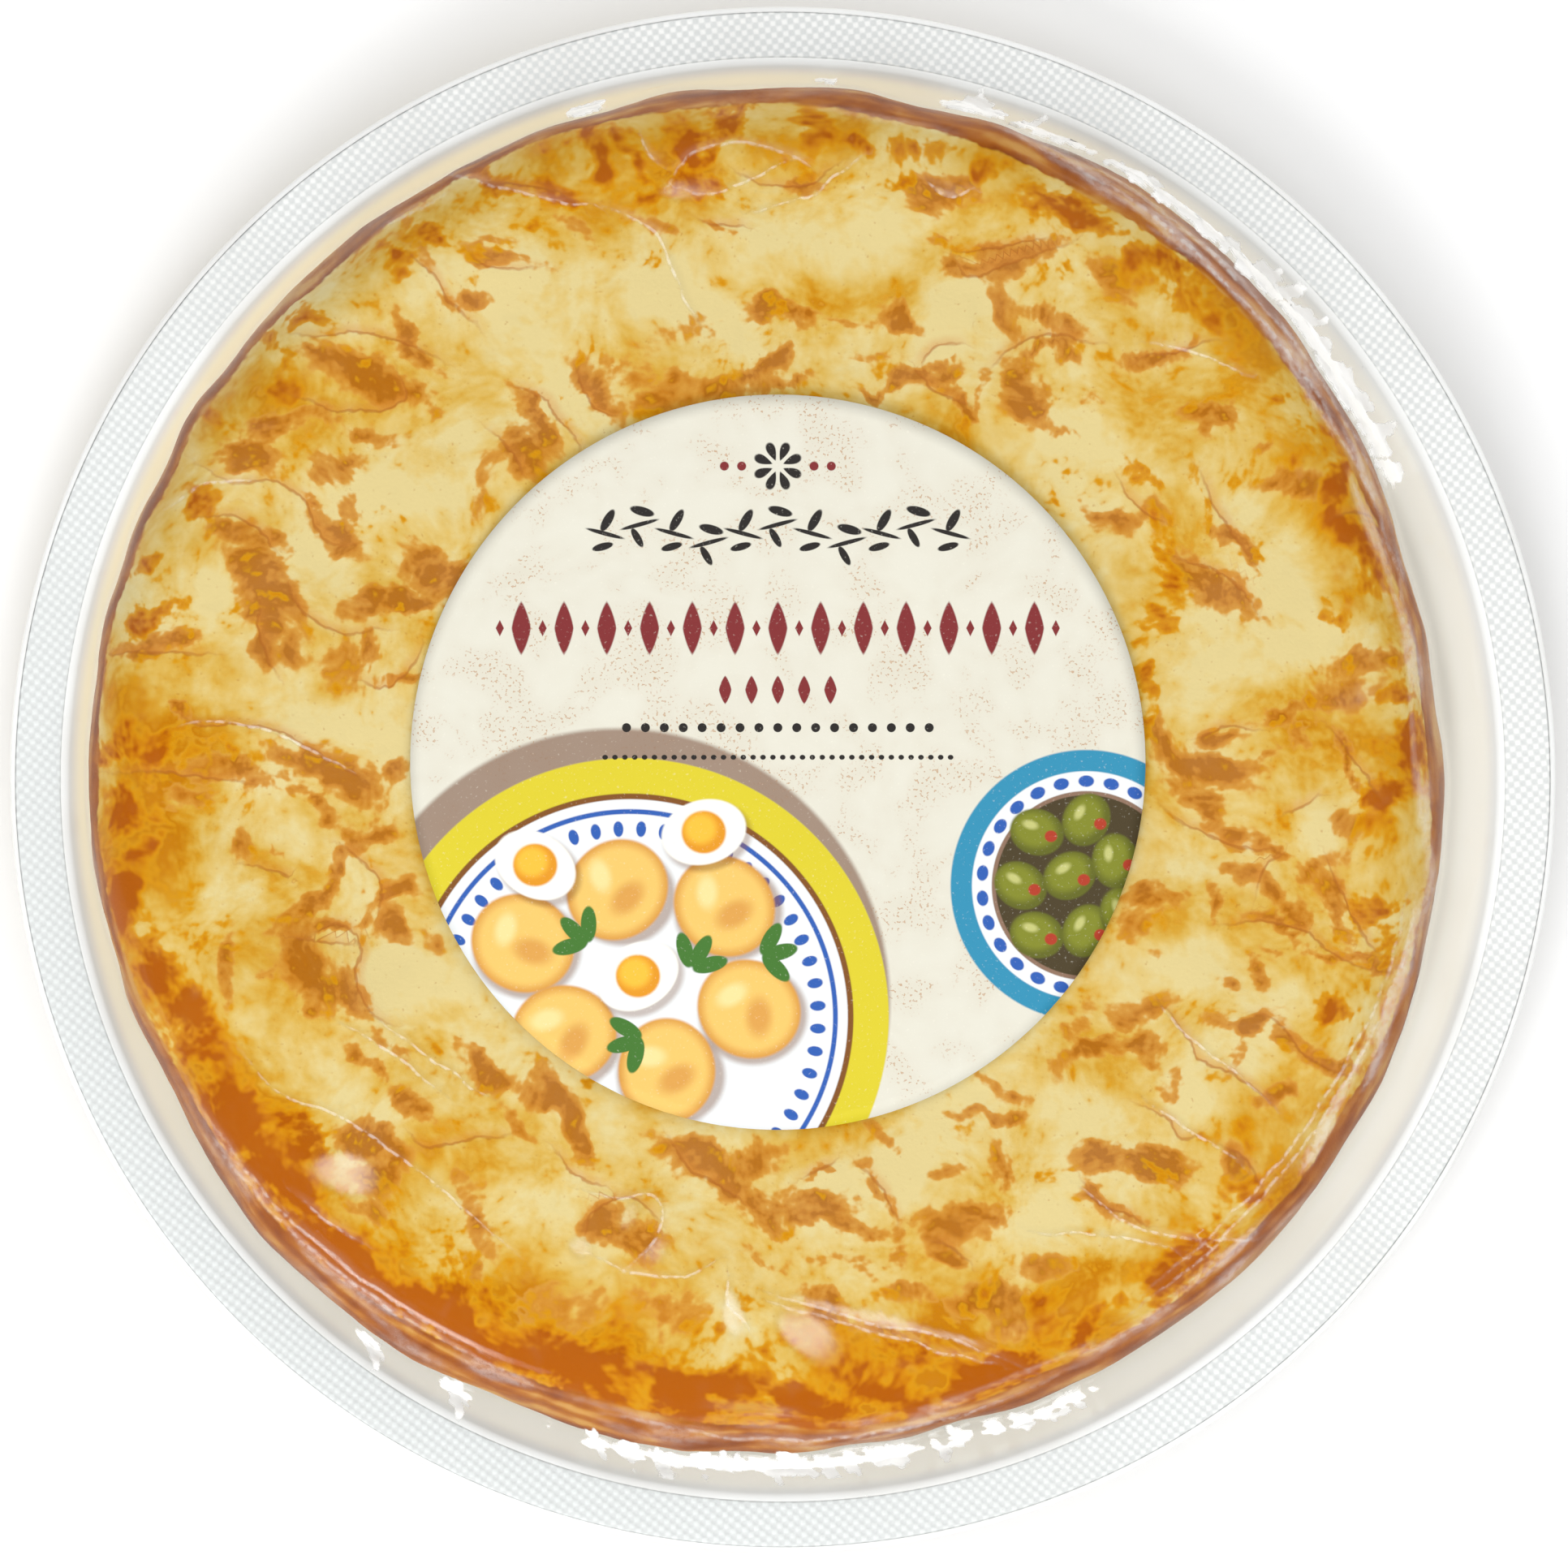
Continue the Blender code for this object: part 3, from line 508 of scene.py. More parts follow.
def thicken(obj, thickness, side, even=True):
    """Gives a surface its wall, above its faces for side 1 and below them for side -1."""
    solidify = obj.modifiers.new("Wall", "SOLIDIFY")
    solidify.thickness = thickness
    solidify.offset = side
    solidify.use_even_offset = even


def smooth_route(points):
    """Points close together on a curve through the given ones that wanders a little, in metres."""
    knots = [Vector((*point, 0)) * MM for point in points]
    knots = [knots[0] * 2 - knots[1], *knots, knots[-1] * 2 - knots[-2]]
    route = []
    for a, b, c, d in zip(knots, knots[1:], knots[2:], knots[3:]):
        for i in range(ROUTE_STEPS):
            t = i / ROUTE_STEPS
            bend = (2 * a - 5 * b + 4 * c - d) * t**2
            place = 0.5 * (2 * b + (c - a) * t + bend + (3 * b - a - 3 * c + d) * t**3)
            slow = noise.noise_vector(place / (3 * MM)) * 0.45 * MM
            quick = noise.noise_vector(place / MM) * 0.12 * MM
            route.append(place + Vector((slow.x + quick.x, slow.y + quick.y, 0)))
    return [*route, knots[-2]]


def finder(bm, above, stirs=()):
    """A search tree of the points of a mesh higher than a height, laid flat and stirred.

    Each stir is the size of its swirls and how far they carry a point, so that marks come out ragged.
    """
    tree = kdtree.KDTree(len(bm.verts))
    for vertex in bm.verts:
        if vertex.co.z > above:
            place = Vector((vertex.co.x, vertex.co.y, 0))
            moves = [noise.noise_vector(place / size) * far for size, far in stirs]
            x, y = (sum((move[axis] for move in moves), place[axis]) for axis in (0, 1))
            tree.insert((x, y, 0), vertex.index)
    tree.balance()
    return tree


def value_layer(bm, name):
    """A float value on each point, made if the mesh doesn't hold it yet."""
    return bm.verts.layers.float.get(name) or bm.verts.layers.float.new(name)


def stain(bm, tree, name, marks, sharp_side=1.0):
    """A point value that is highest in the middle of each mark and fades out round it.

    A sharp side below 1 draws one long edge of each mark in, so that it ends crisply there. Which
    edge that is changes from mark to mark.
    """
    layer = value_layer(bm, name)
    for number, (x, y, length, width, turn, strength) in enumerate(marks):
        sharp = 1 if number % 3 else -1
        centre = Vector((x, y, 0)) * MM
        along = Vector((math.cos(math.radians(turn)), math.sin(math.radians(turn)), 0))
        across = Vector((-along.y, along.x, 0))
        half_length, half_width = length * MM / 2, width * MM / 2
        reach = max(half_length, half_width) * MARK_FADE
        for place, index, _ in tree.find_range(centre, reach):
            apart = place - centre
            aside = apart.dot(across) / half_width
            if aside * sharp > 0:
                aside /= sharp_side
            far = math.hypot(apart.dot(along) / half_length, aside)
            value = strength * (1 - smooth_step(far, 0.35, MARK_FADE))
            vertex = bm.verts[index]
            vertex[layer] = max(vertex[layer], value)


def draw_lines(bm, tree, name, routes, reach):
    """Two point values for fine lines: the distance to one side, in mm, and how strong it is."""
    side_layer = bm.verts.layers.float.new(name + "_side")
    strength_layer = bm.verts.layers.float.new(name + "_strength")
    nearest = {}
    for points in routes:
        route = smooth_route(points)
        last = len(route) - 2
        for i in range(last + 1):
            start, way = route[i], route[i + 1] - route[i]
            length = way.length
            way = way / length
            left = Vector((-way.y, way.x, 0))
            ends = math.sin(math.pi * (i + 0.5) / (last + 1)) ** 0.5
            for place, index, _ in tree.find_range(start + way * length / 2, reach):
                apart = place - start
                beyond = max(-apart.dot(way), apart.dot(way) - length, 0)
                aside = apart.dot(left)
                far = math.hypot(aside, beyond)
                if far < nearest.get(index, (reach,))[0]:
                    strength = ends * (1 - smooth_step(far, reach * 0.4, reach))
                    nearest[index] = (far, math.copysign(far, aside) / MM, strength)
    for index, (_, aside, strength) in nearest.items():
        bm.verts[index][side_layer] = aside
        bm.verts[index][strength_layer] = strength


def paint(red, green, blue):
    """A colour as the eye reads it, each part from 0 to 255, for a shader."""
    parts = [part / 255 for part in (red, green, blue)]
    return (*(p / 12.92 if p <= 0.04045 else ((p + 0.055) / 1.055) ** 2.4 for p in parts), 1)


def add(tree, kind, inputs=None, **settings):
    """A shader node with its settings and inputs, each input a value or another node's output."""
    made = tree.nodes.new("ShaderNode" + kind)
    for setting, value in settings.items():
        setattr(made, setting, value)
    for socket, value in (inputs or {}).items():
        if isinstance(value, bpy.types.NodeSocket):
            tree.links.new(value, made.inputs[socket])
        else:
            made.inputs[socket].default_value = value
    return made


def maths(tree, operation, *values):
    """The output of one Math node."""
    return add(tree, "Math", dict(enumerate(values)), operation=operation).outputs[0]


def total(tree, *parts):
    """The sum of (value, weight) pairs and plain numbers."""
    result = 0.0
    for part in parts:
        if isinstance(part, tuple):
            result = maths(tree, "MULTIPLY_ADD", part[0], part[1], result)
        else:
            result = maths(tree, "ADD", result, part)
    return result


def product(tree, first, *others):
    """The product of masks and numbers."""
    result = first
    for other in others:
        result = maths(tree, "MULTIPLY", result, other)
    return result


def inverse(tree, mask):
    """One less a mask."""
    return maths(tree, "SUBTRACT", 1.0, mask)


def fade(tree, value, low, high):
    """A mask that rises softly from 0 at low to 1 at high."""
    inputs = {"Value": value, "From Min": low, "From Max": high}
    return add(tree, "MapRange", inputs, interpolation_type="SMOOTHSTEP").outputs[0]


def mixed(tree, share, low, high):
    """A colour between two, by a share."""
    return add(tree, "Mix", {0: share, 6: low, 7: high}, data_type="RGBA").outputs[2]


def ramp(tree, value, *stops):
    """A colour from (position, colour) stops."""
    node = add(tree, "ValToRGB", {0: value})
    elements = node.color_ramp.elements
    while len(elements) < len(stops):
        elements.new(0.5)
    for element, (position, colour) in zip(elements, stops):
        element.position = position
        element.color = colour
    return node.outputs[0]


def point_value(tree, name):
    """A value that the piece's own points hold."""
    return add(tree, "Attribute", attribute_name=name).outputs["Fac"]


def place_in_mm(tree):
    """The place on the piece in millimetres."""
    own = add(tree, "TexCoord").outputs["Object"]
    return add(tree, "VectorMath", {0: own, "Scale": 1 / MM}, operation="SCALE").outputs[0]


def cloudy(tree, place, size, detail=1.0):
    """Soft noise about 0.5, with clouds of a size in mm."""
    return add(tree, "TexNoise", {"Vector": place, "Scale": 1 / size, "Detail": detail}).outputs[0]


def new_group(name, inputs, outputs):
    """An empty shader group with named sockets, and its own input and output nodes."""
    tree = bpy.data.node_groups.new(name, "ShaderNodeTree")
    for socket_name, default in inputs.items():
        kind = "NodeSocketVector" if isinstance(default, tuple) else "NodeSocketFloat"
        socket = tree.interface.new_socket(name=socket_name, in_out="INPUT", socket_type=kind)
        socket.default_value = default
    for socket_name in outputs:
        tree.interface.new_socket(name=socket_name, in_out="OUTPUT", socket_type="NodeSocketFloat")
    return tree, tree.nodes.new("NodeGroupInput").outputs, tree.nodes.new("NodeGroupOutput").inputs


def put_out(tree, ends, **values):
    """Links values to the outputs of a shader group."""
    for name, value in values.items():
        tree.links.new(value, ends[name])


def marbling_group():
    """Soft noise of three sizes, drawn out along the same slow swirls, as in set egg and in print."""
    tree, given, ends = new_group(
        "marbling", {"Place": (0.0, 0.0, 0.0), "Size": 5.0, "Flow": 4.0, "Flow Size": 12.0},
        ["Broad", "Clouds", "Streaks"],
    )
    flow_scale = maths(tree, "DIVIDE", 1.0, given["Flow Size"])
    swirl = add(tree, "TexNoise", {"Vector": given["Place"], "Scale": flow_scale, "Detail": 0.0})
    centred = add(tree, "VectorMath", {0: swirl.outputs["Color"], 1: (0.5, 0.5, 0.5)}, operation="SUBTRACT")
    pushed = add(tree, "VectorMath", {0: centred.outputs[0], "Scale": given["Flow"]}, operation="SCALE")
    moved = add(tree, "VectorMath", {0: given["Place"], 1: pushed.outputs[0]}, operation="ADD").outputs[0]
    scale = maths(tree, "DIVIDE", 1.0, given["Size"])
    for name, share, detail in (("Broad", 0.33, 0.0), ("Clouds", 1.0, 2.0), ("Streaks", 3.2, 1.0)):
        inputs = {"Vector": moved, "Scale": product(tree, scale, share), "Detail": detail, "Roughness": 0.6}
        put_out(tree, ends, **{name: add(tree, "TexNoise", inputs).outputs[0]})
    return tree


def seal_group():
    """The pressed seal's pips, from 0 between them to 1 on top, in straight rows."""
    tree, given, ends = new_group("pressed_seal", {"Place": (0.0, 0.0, 0.0)}, ["Height"])
    mapping = {"Vector": given["Place"], "Rotation": (0, 0, SEAL_TURN)}
    turned_place = add(tree, "Mapping", mapping).outputs[0]
    parts = add(tree, "SeparateXYZ", {0: turned_place}).outputs
    waves = [maths(tree, "COSINE", product(tree, parts[axis], math.tau * MM / SEAL_PITCH)) for axis in (0, 1)]
    both = total(tree, (waves[0], 0.25), (waves[1], 0.25), 0.5)
    put_out(tree, ends, Height=maths(tree, "POWER", both, 1.6))
    return tree


def grain_group():
    """Fine unevenness of a surface, for a bump or a change of gloss."""
    tree, given, ends = new_group("fine_grain", {"Place": (0.0, 0.0, 0.0), "Size": 0.5}, ["Height"])
    scale = maths(tree, "DIVIDE", 1.0, given["Size"])
    grain = add(tree, "TexNoise", {"Vector": given["Place"], "Scale": scale, "Detail": 1.0, "Roughness": 0.6})
    put_out(tree, ends, Height=grain.outputs[0])
    return tree


def row_group():
    """A printed straight row of like lozenges or dots, centred on a place."""
    inputs = {
        "Place": (0.0, 0.0, 0.0), "Centre": (0.0, 0.0, 0.0), "Pitch": 2.0, "Count": 5.0,
        "Half Width": 0.5, "Half Height": 0.5, "Power": 1.0,
    }
    tree, given, ends = new_group("printed_row", inputs, ["Mask"])
    local = add(tree, "VectorMath", {0: given["Place"], 1: given["Centre"]}, operation="SUBTRACT").outputs[0]
    parts = add(tree, "SeparateXYZ", {0: local}).outputs
    half_count = maths(tree, "MULTIPLY", given["Count"], 0.5)
    number = maths(tree, "ADD", maths(tree, "DIVIDE", parts[0], given["Pitch"]), half_count)
    inside = product(
        tree, maths(tree, "GREATER_THAN", number, 0.0), maths(tree, "LESS_THAN", number, given["Count"])
    )
    off = maths(tree, "MULTIPLY", maths(tree, "SUBTRACT", maths(tree, "FRACT", number), 0.5), given["Pitch"])
    shares = [
        maths(tree, "DIVIDE", off, given["Half Width"]),
        maths(tree, "DIVIDE", parts[1], given["Half Height"]),
    ]
    raised = [maths(tree, "POWER", maths(tree, "ABSOLUTE", share), given["Power"]) for share in shares]
    reach = maths(tree, "ADD", *raised)
    put_out(tree, ends, Mask=product(tree, inside, inverse(tree, fade(tree, reach, 0.9, 1.1))))
    return tree


def ring_group():
    """A printed ring of like dots round a centre."""
    inputs = {
        "Place": (0.0, 0.0, 0.0), "Centre": (0.0, 0.0, 0.0), "Radius": 10.0, "Count": 20.0,
        "Half Length": 0.8, "Half Width": 0.5,
    }
    tree, given, ends = new_group("printed_ring_of_dots", inputs, ["Mask"])
    local = add(tree, "VectorMath", {0: given["Place"], 1: given["Centre"]}, operation="SUBTRACT").outputs[0]
    parts = add(tree, "SeparateXYZ", {0: local}).outputs
    flat = add(tree, "CombineXYZ", {0: parts[0], 1: parts[1]}).outputs[0]
    far = add(tree, "VectorMath", {0: flat}, operation="LENGTH").outputs["Value"]
    turns = product(tree, maths(tree, "ARCTAN2", parts[1], parts[0]), 1 / math.tau, given["Count"])
    off = product(
        tree, maths(tree, "SUBTRACT", maths(tree, "FRACT", turns), 0.5), math.tau,
        maths(tree, "DIVIDE", given["Radius"], given["Count"]),
    )
    aside = maths(tree, "DIVIDE", off, given["Half Width"])
    out = maths(tree, "DIVIDE", maths(tree, "SUBTRACT", far, given["Radius"]), given["Half Length"])
    squares = [maths(tree, "POWER", maths(tree, "ABSOLUTE", share), 2.0) for share in (aside, out)]
    reach = maths(tree, "SQRT", maths(tree, "ADD", *squares))
    put_out(tree, ends, Mask=inverse(tree, fade(tree, reach, 0.88, 1.12)))
    return tree


MARBLING = marbling_group()
PRESSED_SEAL = seal_group()
FINE_GRAIN = grain_group()
PRINTED_ROW = row_group()
PRINTED_RING = ring_group()


def marbled(tree, place, size, flow, flow_size=12.0):
    """Marbling about 0.5, broad, in clouds of a size in mm and in streaks, drawn out along swirls."""
    inputs = {"Place": place, "Size": size, "Flow": flow, "Flow Size": flow_size}
    return add(tree, "Group", inputs, node_tree=MARBLING).outputs


def grain(tree, place, size):
    """A fine grain of a size in mm."""
    return add(tree, "Group", {"Place": place, "Size": size}, node_tree=FINE_GRAIN).outputs[0]


def seal_pips(tree, place):
    """The pressed seal's height at a place in mm."""
    return add(tree, "Group", {"Place": place}, node_tree=PRESSED_SEAL).outputs[0]


def new_material(name):
    """A material with its tree, its Principled shader and its output node."""
    material = bpy.data.materials.new(name)
    material.use_nodes = True
    tree = material.node_tree
    return material, tree, tree.nodes["Principled BSDF"], tree.nodes["Material Output"]


def give(tree, shader, **values):
    """Sets or links inputs of a shader, named with _ for a space."""
    for name, value in values.items():
        socket = shader.inputs[name.replace("_", " ")]
        if isinstance(value, bpy.types.NodeSocket):
            tree.links.new(value, socket)
        else:
            socket.default_value = value


def bumped(tree, height, depth_mm):
    """The normal of a surface with relief of a depth in mm, from a height between 0 and 1."""
    return add(tree, "Bump", {"Height": height, "Distance": depth_mm * MM}).outputs[0]


def folded(tree, aside, strength, width, shade_width):
    """A fine line along a crease, and the soft shade to one side of it."""
    line = inverse(tree, fade(tree, maths(tree, "ABSOLUTE", aside), width * 0.25, width))
    one_side = fade(tree, aside, -width * 0.5, width * 0.4)
    shade = product(tree, one_side, inverse(tree, fade(tree, aside, 0.0, shade_width)))
    return product(tree, line, strength), product(tree, shade, strength)


def toasted_egg(tree, broad, clouds, streaks, fine):
    """The colour of pale set egg with its toasted and amber marks, and how toasted it is."""
    brown, amber, pale, rim = (point_value(tree, name) for name in ("brown", "amber", "pale", "rim"))
    golden = total(
        tree, (rim, 0.65), (broad, 1.5), (clouds, 1.3), (streaks, 0.5), (fine, 0.1), (pale, -0.5), -1.37
    )
    egg = ramp(
        tree, golden,
        (0.0, paint(220, 201, 141)), (0.25, paint(218, 190, 116)), (0.5, paint(213, 175, 84)),
        (0.7, paint(208, 158, 52)), (0.85, paint(202, 141, 26)), (1.0, paint(192, 121, 6)),
    )
    toast_value = total(
        tree, (brown, 1.5), (clouds, 2.0), (streaks, 1.5), (fine, 0.2), (pale, -0.5), -2.12
    )
    toast_colour = ramp(
        tree, toast_value,
        (0.1, paint(212, 160, 72)), (0.4, paint(203, 140, 50)), (0.8, paint(190, 118, 30)),
        (1.0, paint(170, 98, 16)),
    )
    toast = fade(tree, toast_value, -0.05, 0.38)
    amber_value = total(
        tree, (amber, 1.0), (rim, 0.5), (clouds, 2.7), (streaks, 1.4), (fine, 0.2), (pale, -0.45), -2.46
    )
    amber_colour = ramp(
        tree, amber_value,
        (0.1, paint(213, 158, 30)), (0.4, paint(207, 140, 8)), (0.7, paint(195, 117, 3)),
        (1.0, paint(170, 84, 0)),
    )
    ambered = fade(tree, amber_value, 0.02, 0.36)
    colour = mixed(tree, product(tree, toast, 0.9), egg, toast_colour)
    return mixed(tree, product(tree, ambered, 0.92), colour, amber_colour), toast


def creased_and_specked(tree, colour, streaks, fine):
    """A skin's colour with its creases, each a fine line and a shade, and with small specks."""
    wobble = total(tree, (streaks, 0.8), point_value(tree, "crease_side"), -0.4)
    line, shade = folded(tree, wobble, point_value(tree, "crease_strength"), 0.26, 1.6)
    colour = mixed(tree, product(tree, shade, 0.4), colour, paint(206, 132, 56))
    colour = mixed(tree, product(tree, line, 0.55), colour, paint(166, 94, 34))
    return mixed(tree, product(tree, fade(tree, fine, 0.7, 0.78), 0.35), colour, paint(176, 110, 44))


def browned_egg():
    """Pale set egg, golden and amber towards the rim, with toasted brown marks and a brown side."""
    material, tree, shader, _ = new_material("browned_egg")
    place = place_in_mm(tree)
    broad, clouds, streaks = marbled(tree, place, 4.4, 5.5, 11.0)
    fine = grain(tree, place, 0.5)
    colour, toast = toasted_egg(tree, broad, clouds, streaks, fine)
    colour = creased_and_specked(tree, colour, streaks, fine)

    side_value = total(tree, (point_value(tree, "side"), 1.0), (clouds, 0.9), (streaks, 0.6), -0.75)
    side_colour = ramp(
        tree, total(tree, (point_value(tree, "strand"), 1.4), (clouds, 1.2), -0.8),
        (0.1, paint(136, 66, 8)), (0.4, paint(158, 84, 14)), (0.65, paint(178, 106, 28)),
        (0.95, paint(200, 146, 70)),
    )
    colour = mixed(tree, fade(tree, side_value, 0.25, 0.6), colour, side_colour)
    give(
        tree, shader, Base_Color=colour, Roughness=total(tree, (fine, 0.3), (toast, 0.1), 0.34),
        Normal=bumped(tree, fine, 0.06), Specular_IOR_Level=0.06,
    )
    return material


def tray_plastic(name, sealed):
    """Thin white plastic, slightly milky, warmer low on the wall towards the upper left, with a painted glow
    on that wall; pressed where sealed, with painted shade between the pips and towards the lower left.
    """
    material, tree, shader, _ = new_material(name)
    place = place_in_mm(tree)
    fine = grain(tree, place, 0.8)
    cloud = fade(tree, cloudy(tree, place, 16.0), 0.35, 0.7)
    colour = mixed(tree, cloud, paint(247, 248, 247), paint(241, 241, 239))
    if sealed:
        # Painted shade: the hollows between the pressed pips are painted grey.
        painted_shade_in_hollows = inverse(tree, fade(tree, seal_pips(tree, place), 0.1, 0.7))
        parts = add(tree, "SeparateXYZ", {0: place}).outputs
        # Painted shade: the flange is painted greyer and cooler towards the lower left.
        painted_shade_side = fade(tree, total(tree, (parts[0], -0.7), (parts[1], -0.7)), -60.0, 90.0)
        colour = mixed(tree, product(tree, painted_shade_side, 0.8), colour, paint(226, 231, 231))
        colour = mixed(tree, product(tree, painted_shade_in_hollows, 0.8), colour, paint(212, 215, 215))
    else:
        parts = add(tree, "SeparateXYZ", {0: place}).outputs
        warm_side = fade(tree, total(tree, (parts[0], -0.8), (parts[1], 0.7)), -10.0, 90.0)
        near_food = inverse(tree, fade(tree, parts[2], 9.0, 12.0))
        warm = product(tree, total(tree, (warm_side, 0.65), 0.3), near_food)
        colour = mixed(tree, warm, colour, paint(244, 230, 196))
        # Painted glow: the wall below the flange glows, more strongly towards the upper left, in place of
        # light let through the thin plastic.
        painted_glow_colour = mixed(tree, fade(tree, parts[2], 1.6, 6.0), (0, 0, 0, 1), colour)
        shown = product(tree, near_food, total(tree, (warm_side, 0.4), 0.6))
        glow = mixed(tree, shown, (0, 0, 0, 1), painted_glow_colour)
        give(tree, shader, Emission_Color=glow, Emission_Strength=TRAY_GLOW)
    give(
        tree, shader, Base_Color=colour, Roughness=total(tree, (fine, 0.2), 0.3),
        Normal=bumped(tree, fine, 0.01), Specular_IOR_Level=0.45,
    )
    return material


def clear_film():
    """Clear glossy film, milky white where it is crumpled, in fine lines along its folds and rim and in
    bright patches: partly the film's own whitening, partly painted highlights and reflections, with a painted
    glow in the crumples.
    """
    material, tree, shader, output = new_material("clear_film")
    place = place_in_mm(tree)
    fine = cloudy(tree, place, 0.9)

    # Partly real and partly painted highlight: crumpled film is painted milky white, both for its own
    # whitening and for the bright highlights on the crumples.
    crumpled = fade(tree, total(tree, (point_value(tree, "crumple"), 1.0), (fine, 0.9), -0.45), 0.35, 0.7)
    # Painted highlight: a milky band of fine lines along the folded rim.
    painted_rim_lines = product(tree, point_value(tree, "band"), total(tree, (fade(tree, fine, 0.3, 0.6), 0.12), 0.11))
    lines, shades = [], []
    for name in ("fold", "crimp"):
        strength = point_value(tree, name + "_strength")
        line, shade = folded(tree, point_value(tree, name + "_side"), strength, 0.3, 1.3)
        lines.append(line)
        shades.append(shade)
    # Painted highlights: milky lines along the folds and a faint milky sheen to one side of them, added to
    # the crumples and the glare patches.
    milky_with_highlights = total(
        tree, (crumpled, 0.8), (point_value(tree, "painted_glare_and_scuffs"), 1.0), (painted_rim_lines, 1.0),
        (product(tree, fade(tree, fine, 0.3, 0.65), total(tree, lines[0], lines[1])), 0.15),
        (shades[0], 0.06), (shades[1], 0.06),
    )
    milky_with_highlights = maths(tree, "MINIMUM", milky_with_highlights, 0.92)

    pips = product(tree, seal_pips(tree, place), fade(tree, point_value(tree, "from_axis"), 88.4, 88.9))
    behind = add(tree, "NewGeometry").outputs["Backfacing"]
    both_ways = total(tree, (behind, 1 / FILM_IOR - FILM_IOR), FILM_IOR)
    gloss = add(tree, "Fresnel", {"IOR": both_ways}).outputs[0]
    shown = inverse(tree, product(tree, inverse(tree, milky_with_highlights), inverse(tree, gloss)))
    # Painted glow: the crumples emit white light in place of their highlights.
    give(
        tree, shader, Base_Color=paint(252, 251, 248), Normal=bumped(tree, pips, 0.12),
        Roughness=product(tree, fade(tree, milky_with_highlights, 0.02, 0.5), 0.3),
        Metallic=inverse(tree, fade(tree, milky_with_highlights, 0.02, 0.14)),
        Emission_Color=mixed(tree, crumpled, (0, 0, 0, 1), (1, 1, 1, 1)), Emission_Strength=CRUMPLE_GLOW,
    )
    clear = add(tree, "BsdfTransparent", {"Color": (0.99, 0.99, 0.985, 1)})
    film = add(tree, "MixShader", {0: shown, 1: clear.outputs[0], 2: shader.outputs[0]})
    tree.links.new(film.outputs[0], output.inputs["Surface"])
    return material


# Printed ovals lean in steps of this many degrees, so that many of them share one turned place
TURN_STEP = 15


class LabelPrint:
    """The colour of the label's print, to which each motif adds its ink."""

    def __init__(self, tree, place, paper):
        self.tree, self.place, self.colour = tree, place, paper
        self.turned_places = {0: place}

    def lay(self, mask, ink):
        self.colour = mixed(self.tree, mask, self.colour, ink)

    def turned_place(self, turn):
        """The place as seen along an oval that leans by a turn, shared by all ovals that lean alike."""
        if turn not in self.turned_places:
            lean = math.radians(turn)
            along = (math.cos(lean), math.sin(lean), 0)
            across = (-math.sin(lean), math.cos(lean), 0)
            dots = [
                add(self.tree, "VectorMath", {0: self.place, 1: axis}, operation="DOT_PRODUCT")
                for axis in (along, across)
            ]
            parts = {number: dot.outputs["Value"] for number, dot in enumerate(dots)}
            self.turned_places[turn] = add(self.tree, "CombineXYZ", parts).outputs[0]
        return self.turned_places[turn]

    def spot(self, centre, half_size, ink, turn=0, soft=0.04, cover=1.0):
        """One round or oval, with its edge softened by a share of its size."""
        turn = 0 if half_size[0] == half_size[1] else round(turn / TURN_STEP) * TURN_STEP % 180
        lean = math.radians(turn)
        along = centre[0] * math.cos(lean) + centre[1] * math.sin(lean)
        across = centre[1] * math.cos(lean) - centre[0] * math.sin(lean)
        scale = (1 / half_size[0], 1 / half_size[1], 0)
        shift = (-along / half_size[0], -across / half_size[1], 0)
        inputs = {0: self.turned_place(turn), 1: scale, 2: shift}
        off = add(self.tree, "VectorMath", inputs, operation="MULTIPLY_ADD").outputs[0]
        reach = add(self.tree, "VectorMath", {0: off}, operation="LENGTH").outputs["Value"]
        span = {"Value": reach, "From Min": 1 - soft, "From Max": 1 + soft, "To Min": cover, "To Max": 0.0}
        self.lay(add(self.tree, "MapRange", span, interpolation_type="SMOOTHSTEP").outputs[0], ink)

    def row(self, centre, pitch, count, half_size, ink, power=1.0):
        """A straight row of like shapes."""
        inputs = {
            "Place": self.place, "Centre": (*centre, 0), "Pitch": pitch, "Count": count,
            "Half Width": half_size[0], "Half Height": half_size[1], "Power": power,
        }
        self.lay(add(self.tree, "Group", inputs, node_tree=PRINTED_ROW).outputs[0], ink)

    def ring_of_dots(self, centre, radius, count, half_length, half_width, ink):
        """Like dots round a centre."""
        inputs = {
            "Place": self.place, "Centre": (*centre, 0), "Radius": radius, "Count": count,
            "Half Length": half_length, "Half Width": half_width,
        }
        self.lay(add(self.tree, "Group", inputs, node_tree=PRINTED_RING).outputs[0], ink)


INK_BLACK = paint(38, 34, 32)
INK_RED = paint(128, 42, 44)
INK_YELLOW = paint(218, 202, 44)
INK_BROWN = paint(128, 78, 28)
INK_BLUE = paint(44, 92, 176)
INK_TURQUOISE = paint(48, 142, 178)
INK_WHITE = paint(236, 238, 238)
INK_SHADOW = paint(140, 110, 90)
INK_GREEN = paint(66, 118, 44)
INK_OLIVE = paint(128, 134, 36)

# The print, in millimetres from the label's centre
BIG_PLATE = (-18, -31)
BIG_PLATE_RADIUS = 31.5
SMALL_DISH = (37.5, -15)
SMALL_DISH_RADIUS = 16.5
POTATO_ROUNDS = ((-31, -22), (-19.5, -15.5), (-6.5, -17.5), (-26, -33), (-3.5, -30), (-13.5, -37.5))
EGG_HALVES = ((-17, -26, 25), (-29.5, -12.5, -35), (-9, -8.5, 10))
LEAF_SPRIGS = ((-10.5, -25, 60), (-23, -22, 140), (-16.5, -33.5, 200), (-2, -23.5, 10))
DISH_OLIVES = (
    (31.5, -8.5), (37.5, -7), (29.5, -15), (35.5, -13.8), (41, -12), (31.5, -21), (37.5, -20.5), (42, -18.5),
)


